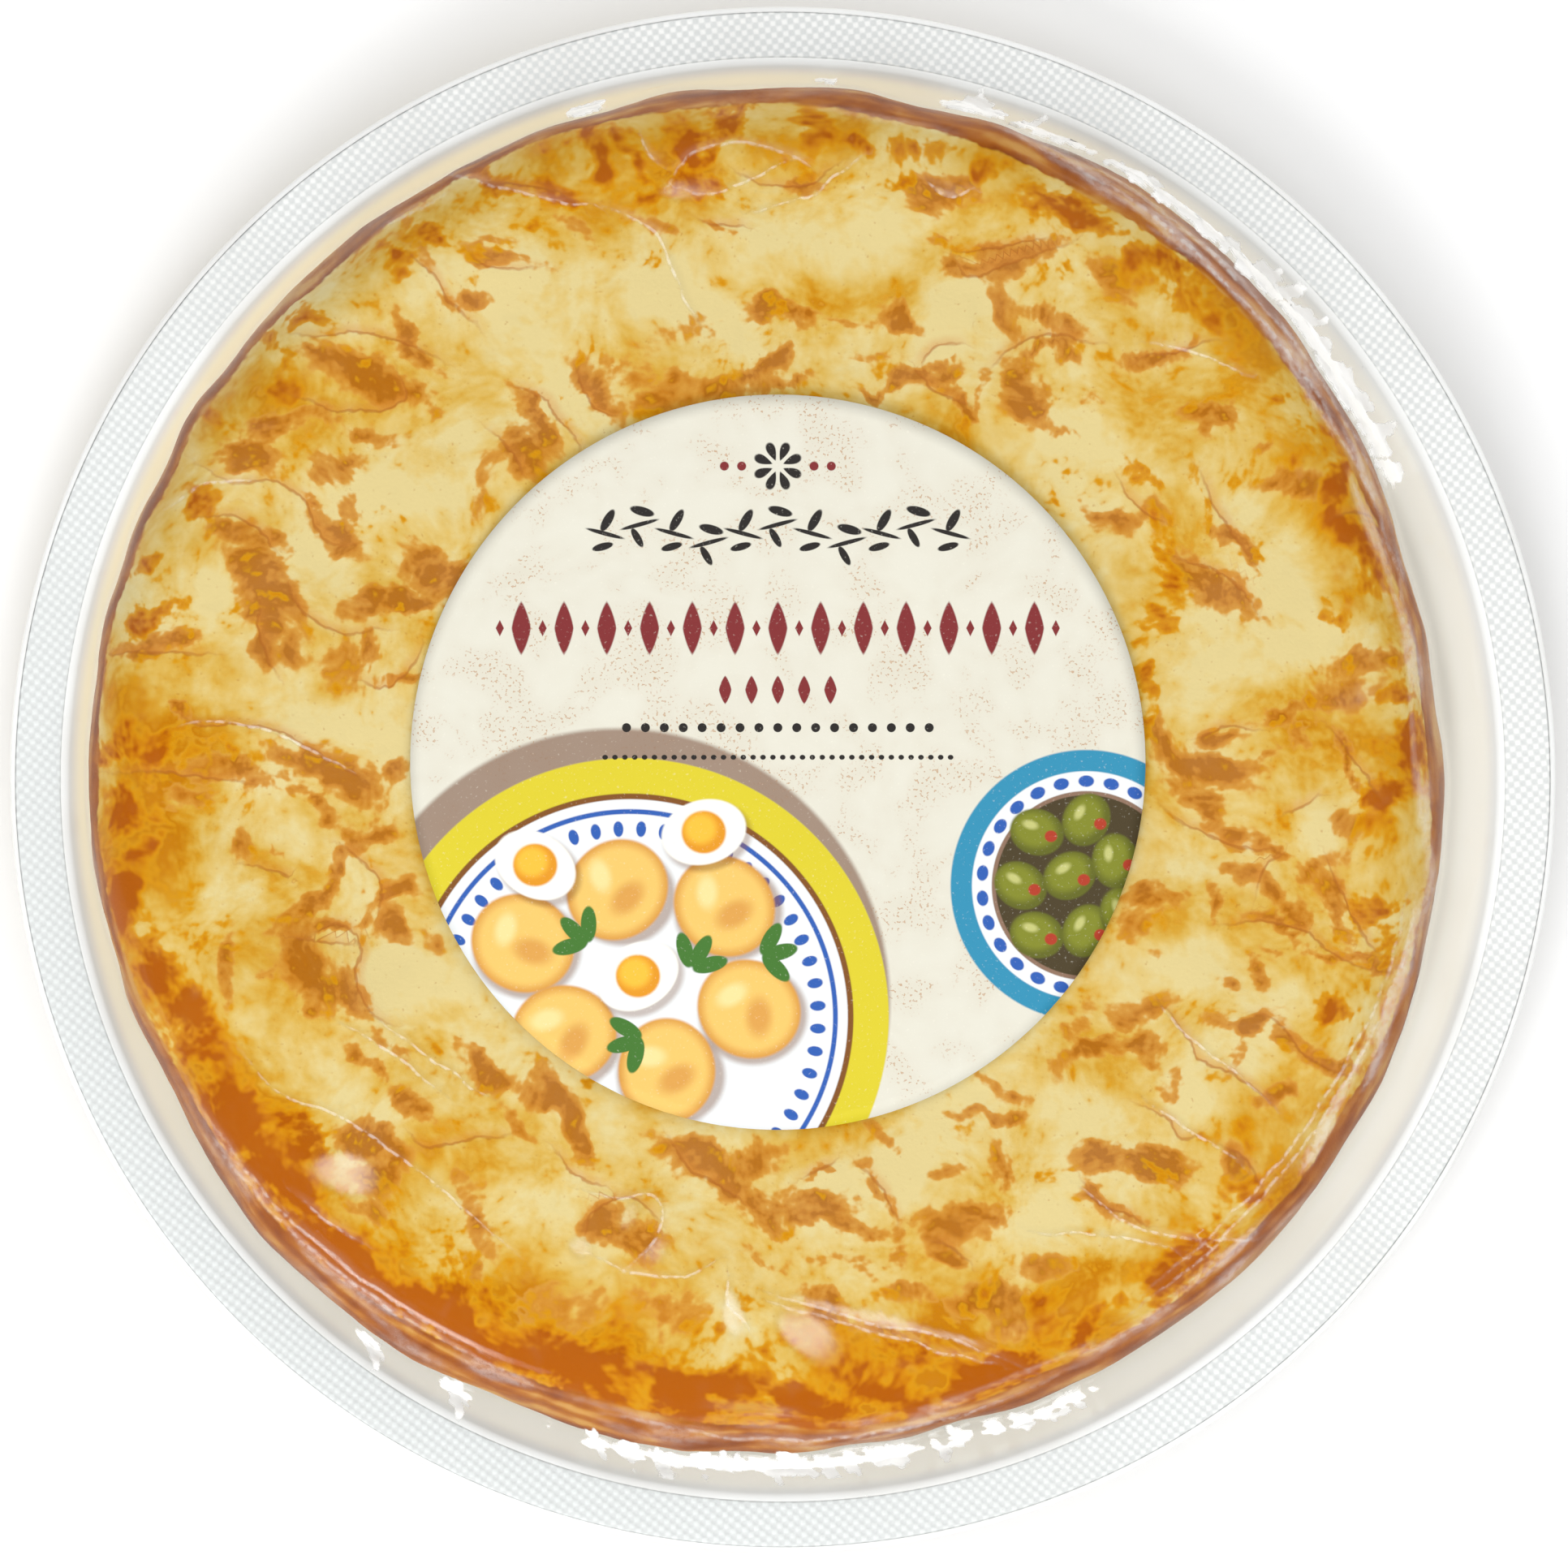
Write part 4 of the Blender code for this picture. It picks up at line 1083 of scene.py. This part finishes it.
def print_plates(ink):
    """Two plates of food, cut off by the label's edge."""
    plate_x, plate_y = BIG_PLATE
    shadow_size = (BIG_PLATE_RADIUS + 1.6,) * 2
    ink.spot((plate_x - 1.5, plate_y + 2.0), shadow_size, INK_SHADOW, soft=0.012, cover=0.85)
    for inset, colour in (
        (0, INK_YELLOW), (4.3, INK_BROWN), (5.0, INK_WHITE), (6.2, INK_BLUE), (6.8, INK_WHITE),
    ):
        ink.spot(BIG_PLATE, (BIG_PLATE_RADIUS - inset,) * 2, colour, soft=0.004)
    ink.ring_of_dots(BIG_PLATE, BIG_PLATE_RADIUS - 8.6, 52, 0.95, 0.6, INK_BLUE)
    for x, y in POTATO_ROUNDS:
        ink.spot((x + 0.5, y - 0.7), (6.6, 6.1), INK_BROWN, soft=0.08, cover=0.6)
        ink.spot((x, y), (6.4, 5.9), paint(214, 150, 62), turn=x * 7, soft=0.04)
        ink.spot((x, y), (5.7, 5.2), paint(238, 196, 104), turn=x * 7, soft=0.16)
        ink.spot((x + 1.2, y - 1), (2.3, 1.5), paint(206, 128, 44), turn=y * 9, soft=0.5, cover=0.6)
        ink.spot((x - 2.1, y + 1.7), (1.9, 1.2), paint(250, 226, 160), turn=y * 5, soft=0.5, cover=0.8)
    for x, y, turn in EGG_HALVES:
        ink.spot((x + 0.5, y - 0.6), (5.4, 4.1), INK_BROWN, turn=turn, soft=0.1, cover=0.5)
        ink.spot((x, y), (5.2, 3.9), paint(248, 246, 236), turn=turn, soft=0.04)
        ink.spot((x, y), (2.7, 2.6), paint(226, 150, 26), soft=0.08)
        ink.spot((x - 0.4, y + 0.4), (1.9, 1.8), paint(244, 190, 58), soft=0.35)
    for x, y, turn in LEAF_SPRIGS:
        for side in (-50, 0, 50):
            angle = math.radians(turn + side)
            centre = (x + 2.3 * math.cos(angle), y + 2.3 * math.sin(angle))
            ink.spot(centre, (2.2, 0.95), INK_GREEN, turn=turn + side, soft=0.08)
    for inset, colour in ((0, INK_TURQUOISE), (2.6, INK_WHITE), (5.0, INK_SHADOW), (5.5, paint(72, 60, 34))):
        ink.spot(SMALL_DISH, (SMALL_DISH_RADIUS - inset,) * 2, colour, soft=0.008)
    ink.ring_of_dots(SMALL_DISH, SMALL_DISH_RADIUS - 3.8, 26, 0.7, 0.95, INK_BLUE)
    for x, y in DISH_OLIVES:
        ink.spot((x, y), (3.3, 2.8), paint(96, 100, 26), turn=x * 11, soft=0.06)
        ink.spot((x - 0.3, y + 0.3), (2.6, 2.1), INK_OLIVE, turn=x * 11, soft=0.3)
        ink.spot((x - 0.8, y + 0.9), (0.9, 0.5), paint(206, 206, 130), turn=x * 11, soft=0.5, cover=0.8)
        ink.spot((x + 1.7, y - 0.5), (0.75, 0.7), paint(176, 58, 34), soft=0.15)


def print_ornament(ink):
    """Rows of red lozenges, a black sprig and fine dotted lines, where a pack has its words."""
    ink.row((0, 16.3), 5.2, 13, (1.15, 3.2), INK_RED, power=1.3)
    ink.row((0, 16.3), 5.2, 14, (0.5, 1.0), INK_RED, power=1.0)
    ink.row((0, 8.8), 3.2, 5, (0.75, 1.7), INK_RED, power=1.3)
    ink.row((0, 4.2), 2.3, 17, (0.55, 0.55), INK_BLACK, power=2.0)
    ink.row((0, 0.6), 1.2, 36, (0.34, 0.3), INK_BLACK, power=2.0)
    for i in range(-5, 6):
        x, y = i * 4.2, 27.8 + 1.1 * math.cos(i * math.pi / 2)
        lean = 35 if i % 2 else -35
        ink.spot((x, y), (2.35, 0.26), INK_BLACK, turn=-lean * 0.6, soft=0.15)
        ink.spot((x + 0.3, y + 1.6), (1.5, 0.55), INK_BLACK, turn=lean + 20, soft=0.1)
        ink.spot((x - 0.3, y - 1.6), (1.3, 0.45), INK_BLACK, turn=lean - 20, soft=0.1)
    ink.ring_of_dots((0, 36), 1.9, 8, 1.15, 0.5, INK_BLACK)
    for x in (-6.5, -4.4, 4.4, 6.5):
        ink.spot((x, 36), (0.55, 0.55), INK_RED, soft=0.1)


def label_paper():
    """Cream coated paper with brown flecks and its print."""
    material, tree, shader, _ = new_material("label_paper")
    own = place_in_mm(tree)
    centre = tuple(LABEL_CENTRE / MM)
    place = add(tree, "VectorMath", {0: own, 1: (centre[0], centre[1], 0)}, operation="SUBTRACT").outputs[0]
    flat = add(tree, "VectorMath", {0: place, 1: (1, 1, 0)}, operation="MULTIPLY").outputs[0]
    _, mottle, _ = marbled(tree, flat, 7.0, 7.0)
    fine = grain(tree, flat, 0.4)
    paper = mixed(tree, fade(tree, mottle, 0.3, 0.75), paint(226, 223, 208), paint(220, 215, 198))
    flecks = product(tree, fade(tree, fine, 0.6, 0.66), fade(tree, mottle, 0.49, 0.6))
    paper = mixed(tree, product(tree, flecks, 0.75), paper, paint(184, 136, 88))
    ink = LabelPrint(tree, flat, paper)
    print_plates(ink)
    print_ornament(ink)
    worn = mixed(tree, product(tree, fade(tree, fine, 0.62, 0.8), 0.25), ink.colour, paint(246, 243, 228))
    give(
        tree, shader, Base_Color=worn, Roughness=total(tree, (fine, 0.2), 0.42),
        Normal=bumped(tree, fine, 0.015), Specular_IOR_Level=0.4,
    )
    return material


def pale_floor():
    """A plain pale studio floor."""
    material, tree, shader, _ = new_material("pale_floor")
    cloud = cloudy(tree, place_in_mm(tree), 300.0, detail=2.0)
    colour = mixed(tree, cloud, (0.93, 0.93, 0.93, 1), (0.95, 0.95, 0.95, 1))
    give(tree, shader, Base_Color=colour, Roughness=0.8, Specular_IOR_Level=0.1)
    return material


def lift(bm, rule):
    """Moves each point along its own normal by what the rule gives for it."""
    bm.normal_update()
    moves = [(vertex, vertex.normal * rule(vertex)) for vertex in bm.verts]
    for vertex, move in moves:
        vertex.co += move


def rim_values(bm):
    """Point values of the plain omelette: how amber its rim is, its browned side and strands along it."""
    rim, side, strand = (value_layer(bm, name) for name in ("rim", "side", "strand"))
    for vertex in bm.verts:
        place = vertex.co
        radius = place.xy.length
        uneven = 1 + RIM_UNEVENNESS * noise.noise(place / RIM_LUMP)
        vertex[rim] = around_rim(place, AMBER_RIMS) * smooth_step(radius, 61 * MM, 79 * MM) * uneven
        start = BODY_RADIUS - SIDE_BAND_LEAST - around_rim(place, SIDE_BANDS)
        below = place.z < WAIST_HEIGHT
        vertex[side] = 1.0 if below else smooth_step(radius, start - 0.5 * MM, start + 0.9 * MM)
        outwards = Vector((place.x, place.y, 0)).normalized()
        layer = Vector((0, 0, (radius - place.z * 0.4) / (1.3 * MM)))
        vertex[strand] = 0.5 + 0.5 * noise.noise(outwards * 8 + layer)


def make_omelette():
    """The omelette's skin with its toasted marks, creases and fine relief."""
    radii = [*spaced(0, 38 * MM, 12), *spaced(38 * MM, FLAT_RADIUS, 58)]
    bm = turned(top_section(radii, 0) + round_edge(26, 0) + lower_edge(12), OMELETTE_STEPS)
    rim_values(bm)
    for vertex in bm.verts:
        vertex.co = settle(vertex.co.copy())
    stirred, unstirred = finder(bm, WAIST_HEIGHT, MARK_STIRS), finder(bm, WAIST_HEIGHT)
    stain(bm, stirred, "brown", BROWN_MARKS, SHARP_SIDE)
    stain(bm, stirred, "amber", AMBER_MARKS, SHARP_SIDE)
    stain(bm, unstirred, "pale", PALE_MARKS)
    draw_lines(bm, unstirred, "crease", SKIN_CREASES, CREASE_REACH)
    brown, amber, pale = (value_layer(bm, name) for name in ("brown", "amber", "pale"))
    aside, strength = value_layer(bm, "crease_side"), value_layer(bm, "crease_strength")

    def rise(vertex):
        """Toasted skin stands a little proud, pale egg is smooth and each crease is a small step."""
        fine = relief(vertex.co, SKIN_RELIEF) * (1 - 0.7 * vertex[pale])
        toasted = TOAST_HEIGHT * max(vertex[brown], vertex[amber])
        step = CREASE_HEIGHT * vertex[strength] * (1 - smooth_step(vertex[aside], -0.8, 0.5))
        return (fine + toasted + step) * smooth_step(vertex.co.z, BOTTOM_HEIGHT, WAIST_HEIGHT)

    lift(bm, rise)
    bmesh.ops.recalc_face_normals(bm, faces=bm.faces[:])
    piece = finished(bm, "omelette_skin", browned_egg())
    piece.visible_diffuse = False
    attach(piece, "root")
    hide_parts("omelette")


# The film's folds, in two sets so that neighbours in a set stay clear of each other
FILM_FOLDS = (
    ((-17.5, 78.5), (-16.5, 76.5), (-15, 74.8)),
    ((-13.8, 72.3), (-11, 76), (-6, 77.3), (0, 76.2), (4, 73.8)),
    ((17, 72.8), (20, 70.8), (23.5, 71.8)),
    ((-50, 66.6), (-45.5, 68.7), (-41, 71.2)),
    ((-22, 69.6), (-16, 67), (-13, 61), (-10, 55)),
    ((-75, 33), (-70, 36), (-64, 36.3)),
    ((-74, 6.5), (-66, 6.8), (-58, 4), (-51, 0)),
    ((-66, -33), (-61.5, -38), (-54, -41), (-49, -44), (-44.5, -47.5), (-38, -53), (-32, -58)),
    ((-54, -29.5), (-48, -33), (-41, -38.5)),
    ((-3, -62), (5, -64.5), (12, -66.3), (20, -68), (30, -72)),
    ((-25, -50), (-20, -51), (-16, -50.5), (-14.5, -53), (-16, -57), (-19, -59.5)),
    ((-6.5, -60), (-6.8, -64), (-4, -67)),
    ((45.5, -27), (49, -31), (53, -34), (60, -40)),
    ((35, -49), (42, -54), (50, -56), (58, -56)),
    ((25, 80), (35, 75), (45, 68.5), (54, 60.5), (62, 51), (69, 40), (74, 28), (77, 14)),
    ((-71, -40), (-63, -50.5), (-54, -58.5), (-44, -65.7), (-34, -71)),
    ((76, -12), (74, -22), (70, -31.5), (63, -43), (54, -53.5), (44, -62.5)),
    ((-22, -77), (-8, -80), (6, -80.3), (22, -77.5), (36, -71.5)),
)
FILM_CRIMPS = (
    ((-12.5, 71.8), (-8, 71.4), (-3, 73.5), (2, 75.5)),
    ((-42, 74), (-35, 72.2), (-27, 70), (-22, 69.5)),
    ((-4, 69), (3, 71), (7, 73.6), (10, 76)),
    ((-50, -28.5), (-45, -32.5), (-40, -36), (-35, -39)),
    ((-60, -50), (-55, -54), (-51, -56.5)),
    ((-4, -63), (10, -66.8), (19, -69.5), (27, -71.5)),
    ((-24, -57.5), (-18, -60), (-12, -60.3), (-8, -58.5)),
    ((44, -39), (50, -43), (56, -47)),
    ((30, -55), (40, -55.5), (48, -57.5)),
    ((28, 80), (38, 75), (48, 68), (56.5, 60), (64, 51), (70.5, 40.5), (75, 29)),
    ((44, 53), (50, 52), (57, 49)),
    ((-70, -43.5), (-62, -53), (-52, -61.5), (-42, -68), (-30, -74)),
    ((77, -14), (74.6, -24), (69.5, -35), (61, -47.5), (51, -58), (40, -66.5)),
)
FOLD_REACH = 1.9 * MM

# Painted reflections: smooth bright patches painted milky on the film: x, y, length, width, turn, strength
PAINTED_FILM_GLARES = (
    (-53, -48, 9, 5, -15, 0.9), (3, -67.5, 9, 5, -40, 0.8), (-6, -65, 3, 6, 10, 0.7),
    (-18.5, -53, 5, 2.5, 60, 0.6), (-24.5, -57, 3.5, 2.5, -20, 0.7), (-15.5, -57.5, 4, 3, 40, 0.5),
    (-11.5, 71.8, 8, 3, 5, 0.6), (12, -65.6, 24, 1.3, -14, 0.9), (20.2, 71.6, 5, 1.8, 0, 0.5),
    (28, -66, 8, 6, 30, 0.3), (69, 10, 7, 4, 20, 0.35), (-4, -76.5, 14, 2, -5, 0.5),
)

# Round the rim: where the film is crumpled in the valley, which is painted white for its own whitening and
# its highlights, and where it is folded along the edge, which gets painted highlight lines
CRUMPLES = (
    (31, 10, 0.5), (46, 26, 0.85), (68, 12, 0.5), (74, 2, 0.8), (85, 1.6, 1.0), (105.5, 2, 1.0),
    (235, 1.6, 1.0), (243, 1.8, 1.0), (260, 14, 0.5), (276, 24, 0.64), (294, 6, 0.4),
)
FOLDED_RIMS = ((45, 60, 0.8), (237, 44, 0.6), (285, 34, 0.4), (325, 44, 1.0), (5, 30, 0.5))

# The same by radius: where crumples and folds begin and end. Crumples thin out inwards of one radius,
# up the omelette's side, and outwards of another, towards the flange.
CRUMPLES_BEGIN = (82.5 * MM, 83.4 * MM)
CRUMPLES_END = (87.6 * MM, 89 * MM)
THINNER_INWARDS_OF = 84.8 * MM
THINNER_OUTWARDS_OF = 84 * MM
FOLDS_BEGIN = (79 * MM, 79.8 * MM)
FOLDS_END = (82.2 * MM, 82.9 * MM)


def film_profile():
    """(radius, height) of the film's lower face: over the top, round the edge, valley, flange."""
    radii = [*spaced(0, 44 * MM, 4), *spaced(44 * MM, FLAT_RADIUS, 33)]
    points = top_section(radii, GAP) + round_edge(24, GAP)
    width = FILM_MEETS_RADIUS - FILM_LEAVES_RADIUS
    points += [(FILM_LEAVES_RADIUS + share * width, FLANGE_HEIGHT) for share in spaced(0, 1, 14)[1:]]
    return points + [
        (FILM_MEETS_RADIUS, FILM_MEETS_HEIGHT),
        (FLANGE_INNER_RADIUS, FLANGE_HEIGHT + GAP),
        ((FLANGE_INNER_RADIUS + FLANGE_OUTER_RADIUS) / 2, FLANGE_HEIGHT + GAP),
        (FLANGE_OUTER_RADIUS - 0.2 * MM, FLANGE_HEIGHT + GAP),
        (FILM_EDGE_RADIUS, FLANGE_HEIGHT + GAP - 0.1 * MM),
    ]


def drape(place):
    """Takes a point of the plain film to its real place."""
    radius = place.xy.length
    if radius <= FILM_LEAVES_RADIUS + SAME_PLACE:
        return settle(place)
    if radius >= FILM_MEETS_RADIUS - SAME_PLACE:
        return place
    outwards = Vector((place.x, place.y, 0)).normalized()
    leaves = settle(outwards * FILM_LEAVES_RADIUS + Vector((0, 0, WAIST_HEIGHT)))
    meets = outwards * FILM_MEETS_RADIUS + Vector((0, 0, FILM_MEETS_HEIGHT))
    width = meets.xy.length - leaves.xy.length
    share = (radius - FILM_LEAVES_RADIUS) / (FILM_MEETS_RADIUS - FILM_LEAVES_RADIUS)
    unevenness = VALLEY_UNEVENNESS * noise.noise(leaves / VALLEY_LUMP) * smooth_step(width, MM, 4 * MM)
    moved = leaves.lerp(meets, share)
    moved.z -= math.sin(math.pi * share**VALLEY_LEAN) * (VALLEY_DEPTH_SHARE * width + unevenness)
    return moved


def film_values(bm):
    """Point values of the film by its plain place: its radius, where it is crumpled, and where it is folded
    along the edge, which gets raised lines and painted highlight lines.
    """
    from_axis, crumple, band = (value_layer(bm, name) for name in ("from_axis", "crumple", "band"))
    for vertex in bm.verts:
        place = vertex.co
        radius = place.xy.length
        outwards = Vector((place.x, place.y, 0)).normalized()
        vertex[from_axis] = radius / MM
        up_the_side = smooth_step(THINNER_INWARDS_OF - radius, 0.4 * MM, 2.4 * MM)
        away = max(up_the_side, smooth_step(radius - THINNER_OUTWARDS_OF, 0.6 * MM, 4 * MM))
        swell = around_rim(place, CRUMPLES)
        spike = noise.noise(outwards * 54 + Vector((0, 0, radius / (6 * MM))))
        strip = noise.noise(outwards * 22 + Vector((0, 0, radius / (0.9 * MM))))
        uneven = 0.3 * noise.noise(place / (4 * MM)) + 1.0 * spike + 0.6 * strip
        ragged = swell + uneven * min(2 * swell, 1.0) - away
        in_valley = smooth_step(radius, *CRUMPLES_BEGIN) * (1 - smooth_step(radius, *CRUMPLES_END))
        vertex[crumple] = smooth_step(ragged, 0.1, 0.35) * in_valley
        on_edge = smooth_step(radius, *FOLDS_BEGIN) * (1 - smooth_step(radius, *FOLDS_END))
        wave = noise.noise(place / (14 * MM))
        strand = noise.noise(outwards * 9 + Vector((0, 0, radius / (1.2 * MM) + wave)))
        vertex[band] = min(around_rim(place, FOLDED_RIMS), 1.0) * on_edge * smooth_step(strand, -0.1, 0.3)


def film_haze(bm):
    """How milky the film is apart from its folds: painted reflections in bright patches, and faint scuffs."""
    painted_glare, painted_glare_and_scuffs = value_layer(bm, "painted_glare"), value_layer(bm, "painted_glare_and_scuffs")
    for vertex in bm.verts:
        place = vertex.co
        cloud = 0.5 + 0.5 * noise.noise(place / (5 * MM))
        scuff = smooth_step(noise.noise(Vector((place.x, place.y, 0)) / (2.2 * MM)), 0.25, 0.6)
        # Painted reflection in the glare patches; the faint scuffs are the film's own.
        vertex[painted_glare_and_scuffs] = 0.2 * smooth_step(vertex[painted_glare], 0.15, 0.7) * cloud + 0.02 * scuff * cloud


def make_film():
    """The clear film: drawn over the omelette, folded along its edge and crumpled in the valley."""
    bm = turned(film_profile(), FILM_STEPS)
    film_values(bm)
    for vertex in bm.verts:
        vertex.co = drape(vertex.co.copy())
    tree = finder(bm, WAIST_HEIGHT)
    stain(bm, tree, "painted_glare", PAINTED_FILM_GLARES)
    film_haze(bm)
    draw_lines(bm, tree, "fold", FILM_FOLDS, FOLD_REACH)
    draw_lines(bm, tree, "crimp", FILM_CRIMPS, FOLD_REACH)
    from_axis, crumple, band = (value_layer(bm, name) for name in ("from_axis", "crumple", "band"))
    aside, strength = value_layer(bm, "fold_side"), value_layer(bm, "fold_strength")

    def rise(vertex):
        """Folds, fine lines and crumples all stand outwards, clear of what the film lies on."""
        place = vertex.co
        off_label = smooth_step((place.xy - LABEL_CENTRE.xy).length, *FILM_FREE_OF_LABEL)
        fold = FOLD_HEIGHT * vertex[strength] * (1 - smooth_step(abs(vertex[aside]), 0, 1.5))
        lines = BAND_HEIGHT * vertex[band]
        pleats = abs(noise.noise(place / (2.6 * MM))) + 0.5 * abs(noise.noise(place / (1.2 * MM)))
        crumpled = CRUMPLE_HEIGHT * vertex[crumple] * pleats
        soft = SLACK_HEIGHT * (1 + noise.noise(place / (7 * MM)))
        over_flange = smooth_step(vertex[from_axis], *FILM_LIES_FLAT)
        return (fold + lines + crumpled + soft) * off_label * (1 - over_flange)

    lift(bm, rise)
    piece = finished(bm, "film_skin", clear_film())
    thicken(piece, FILM_THICKNESS, 1, even=False)
    piece.visible_shadow = False
    piece.visible_diffuse = False
    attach(piece, "root")
    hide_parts("film")


def tray_profile():
    """(radius, height) of the tray's upper face, from its axis to the end of its lip."""
    return [
        (0, FLOOR_HEIGHT),
        (FOOT_INNER_RADIUS - FOOT_SLOPE, FLOOR_HEIGHT),
        (FOOT_INNER_RADIUS, TRAY_WALL),
        (FOOT_OUTER_RADIUS, TRAY_WALL),
        (WALL_FOOT_RADIUS, WALL_FOOT_HEIGHT),
        (WALL_TOP_RADIUS, WALL_TOP_HEIGHT),
        (WALL_TOP_RADIUS + 0.5 * MM, FLANGE_HEIGHT - LIP_CHAMFER),
        (FLANGE_INNER_RADIUS, FLANGE_HEIGHT),
        (FLANGE_OUTER_RADIUS, FLANGE_HEIGHT),
        (TRAY_RADIUS - 0.2 * MM, FLANGE_HEIGHT - LIP_CHAMFER),
        (TRAY_RADIUS, FLANGE_HEIGHT - LIP_ROUND),
        (TRAY_RADIUS, FLANGE_HEIGHT - LIP_DROP),
    ]


def make_tray():
    """The thin formed tray."""
    bm = turned(rounded(tray_profile(), CORNER_WIDTH), TRAY_STEPS)
    piece = finished(bm, "tray_shell", tray_plastic("tray_plastic", sealed=False))
    thicken(piece, TRAY_WALL, -1)
    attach(piece, "root")
    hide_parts("tray")


def seal_height(place):
    """The pressed seal's height at a place, from 0 between its pips to 1 on top of them."""
    turned_place = place.xy @ Matrix.Rotation(-SEAL_TURN, 2)
    waves = sum(math.cos(math.tau * part / SEAL_PITCH) for part in turned_place)
    return (0.5 + 0.25 * waves) ** 1.6


def make_seal():
    """The ring of pips pressed into the flange, where the film is sealed to it."""
    base = FLANGE_HEIGHT + 0.005 * MM
    radii = spaced(SEAL_INNER_RADIUS, SEAL_OUTER_RADIUS, SEAL_RINGS)
    profile = [(SEAL_INNER_RADIUS, base)]
    profile += [(radius, base + 0.02 * MM) for radius in radii]
    profile += [(SEAL_OUTER_RADIUS, base)]
    bm = turned(profile, SEAL_STEPS)
    for vertex in bm.verts:
        if vertex.co.z > base + SAME_PLACE:
            radius = vertex.co.xy.length
            inside = smooth_step(radius, SEAL_INNER_RADIUS, SEAL_INNER_RADIUS + 0.5 * MM)
            inside *= 1 - smooth_step(radius, SEAL_OUTER_RADIUS - 0.5 * MM, SEAL_OUTER_RADIUS)
            vertex.co.z += SEAL_PIP_HEIGHT * seal_height(vertex.co) * inside
    rims = [edge for edge in bm.edges if edge.is_boundary]
    bmesh.ops.bridge_loops(bm, edges=rims)
    bmesh.ops.recalc_face_normals(bm, faces=bm.faces[:])
    piece = finished(bm, "pressed_seal", tray_plastic("sealed_flange", sealed=True))
    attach(piece, "root")


def make_label():
    """The round paper label that lies on the film."""
    radii = [*spaced(0, LABEL_RADIUS, 26), LABEL_RADIUS]
    bm = turned([(radius, 0) for radius in radii], LABEL_STEPS)
    for vertex in bm.verts:
        moved = vertex.co + LABEL_CENTRE
        moved.z = crown_height((moved - OFFSET).xy.length) + top_relief(moved) + 2 * GAP + FILM_THICKNESS
        vertex.co = moved
    piece = finished(bm, "printed_label", label_paper())
    thicken(piece, LABEL_THICKNESS, 1)
    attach(piece, "root")
    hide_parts("label")


def make_floor():
    """The plain surface that the pack stands on."""
    bm = bmesh.new()
    bmesh.ops.create_grid(bm, x_segments=1, y_segments=1, size=FLOOR_HALF_WIDTH)
    bmesh.ops.translate(bm, verts=bm.verts[:], vec=(0, 0, -FLOOR_DROP))
    floor = finished(bm, "floor", pale_floor())


def make_camera():
    """A camera straight above, framed as in the photo."""
    camera = bpy.data.objects.new("camera", bpy.data.cameras.new("camera"))
    bpy.context.scene.collection.objects.link(camera)
    frame_width = PHOTO_WIDTH * TRAY_RADIUS / TRAY_PIXELS
    camera.data.sensor_width = SENSOR_WIDTH
    camera.data.lens = SENSOR_WIDTH * (CAMERA_HEIGHT - FLANGE_HEIGHT) / frame_width
    camera.data.clip_end = 10
    pixel = TRAY_RADIUS / TRAY_PIXELS
    aside = (PHOTO_WIDTH / 2 - TRAY_CENTRE_PIXEL[0]) * pixel
    back = (TRAY_CENTRE_PIXEL[1] - PHOTO_WIDTH / 2) * pixel
    camera.location = (aside, back, CAMERA_HEIGHT)
    bpy.context.scene.camera = camera


def soft_light(name, azimuth, from_vertical, distance, size, power):
    """A square soft light, aimed at the middle of the pack."""
    light = bpy.data.lights.new(name, "AREA")
    light.shape = "RECTANGLE"
    light.size, light.size_y = size
    light.energy = power
    lamp = bpy.data.objects.new(name, light)
    bpy.context.scene.collection.objects.link(lamp)
    turn, lean = math.radians(azimuth), math.radians(from_vertical)
    way = Vector((math.cos(turn) * math.sin(lean), math.sin(turn) * math.sin(lean), math.cos(lean)))
    lamp.location = way * distance
    lamp.rotation_mode = "QUATERNION"
    lamp.rotation_quaternion = way.to_track_quat("Z", "Y")
    return lamp


# How often soft light passes on between pale surfaces before it is dropped
DIFFUSE_BOUNCES = 2


def make_lights():
    """Pale surroundings, darker straight above, so that flat film mirrors little."""
    world = bpy.data.worlds.new("studio")
    bpy.context.scene.world = world
    world.use_nodes = True
    tree = world.node_tree
    up = add(tree, "SeparateXYZ", {0: add(tree, "TexCoord").outputs["Generated"]}).outputs[2]
    low, high, overhead = (0.38, 0.38, 0.38, 1), (0.76, 0.76, 0.76, 1), (0.08, 0.08, 0.08, 1)
    sky = mixed(tree, fade(tree, up, 0.3, 0.85), low, high)
    sky = mixed(tree, fade(tree, up, 0.955, 0.985), sky, overhead)
    give(tree, tree.nodes["Background"], Color=sky, Strength=1.0)
    for lamp in (
        soft_light("key", 255, 46, 1.0, (0.7, 0.5), 4.5),
        soft_light("fill", 60, 50, 1.0, (0.6, 0.4), 1.8),
        soft_light("overhead", 0, 0, 2.0, (1.6, 1.6), 8.8),
    ):
        lamp.visible_glossy = False
    soft_light("glint", 236, 74, 1.0, (0.5, 0.16), 1.2)
    bpy.context.scene.view_settings.view_transform = "Standard"
    bpy.context.scene.cycles.diffuse_bounces = DIFFUSE_BOUNCES


make_camera()
make_lights()
make_floor()
make_tray()
make_seal()
make_omelette()
make_film()
make_label()
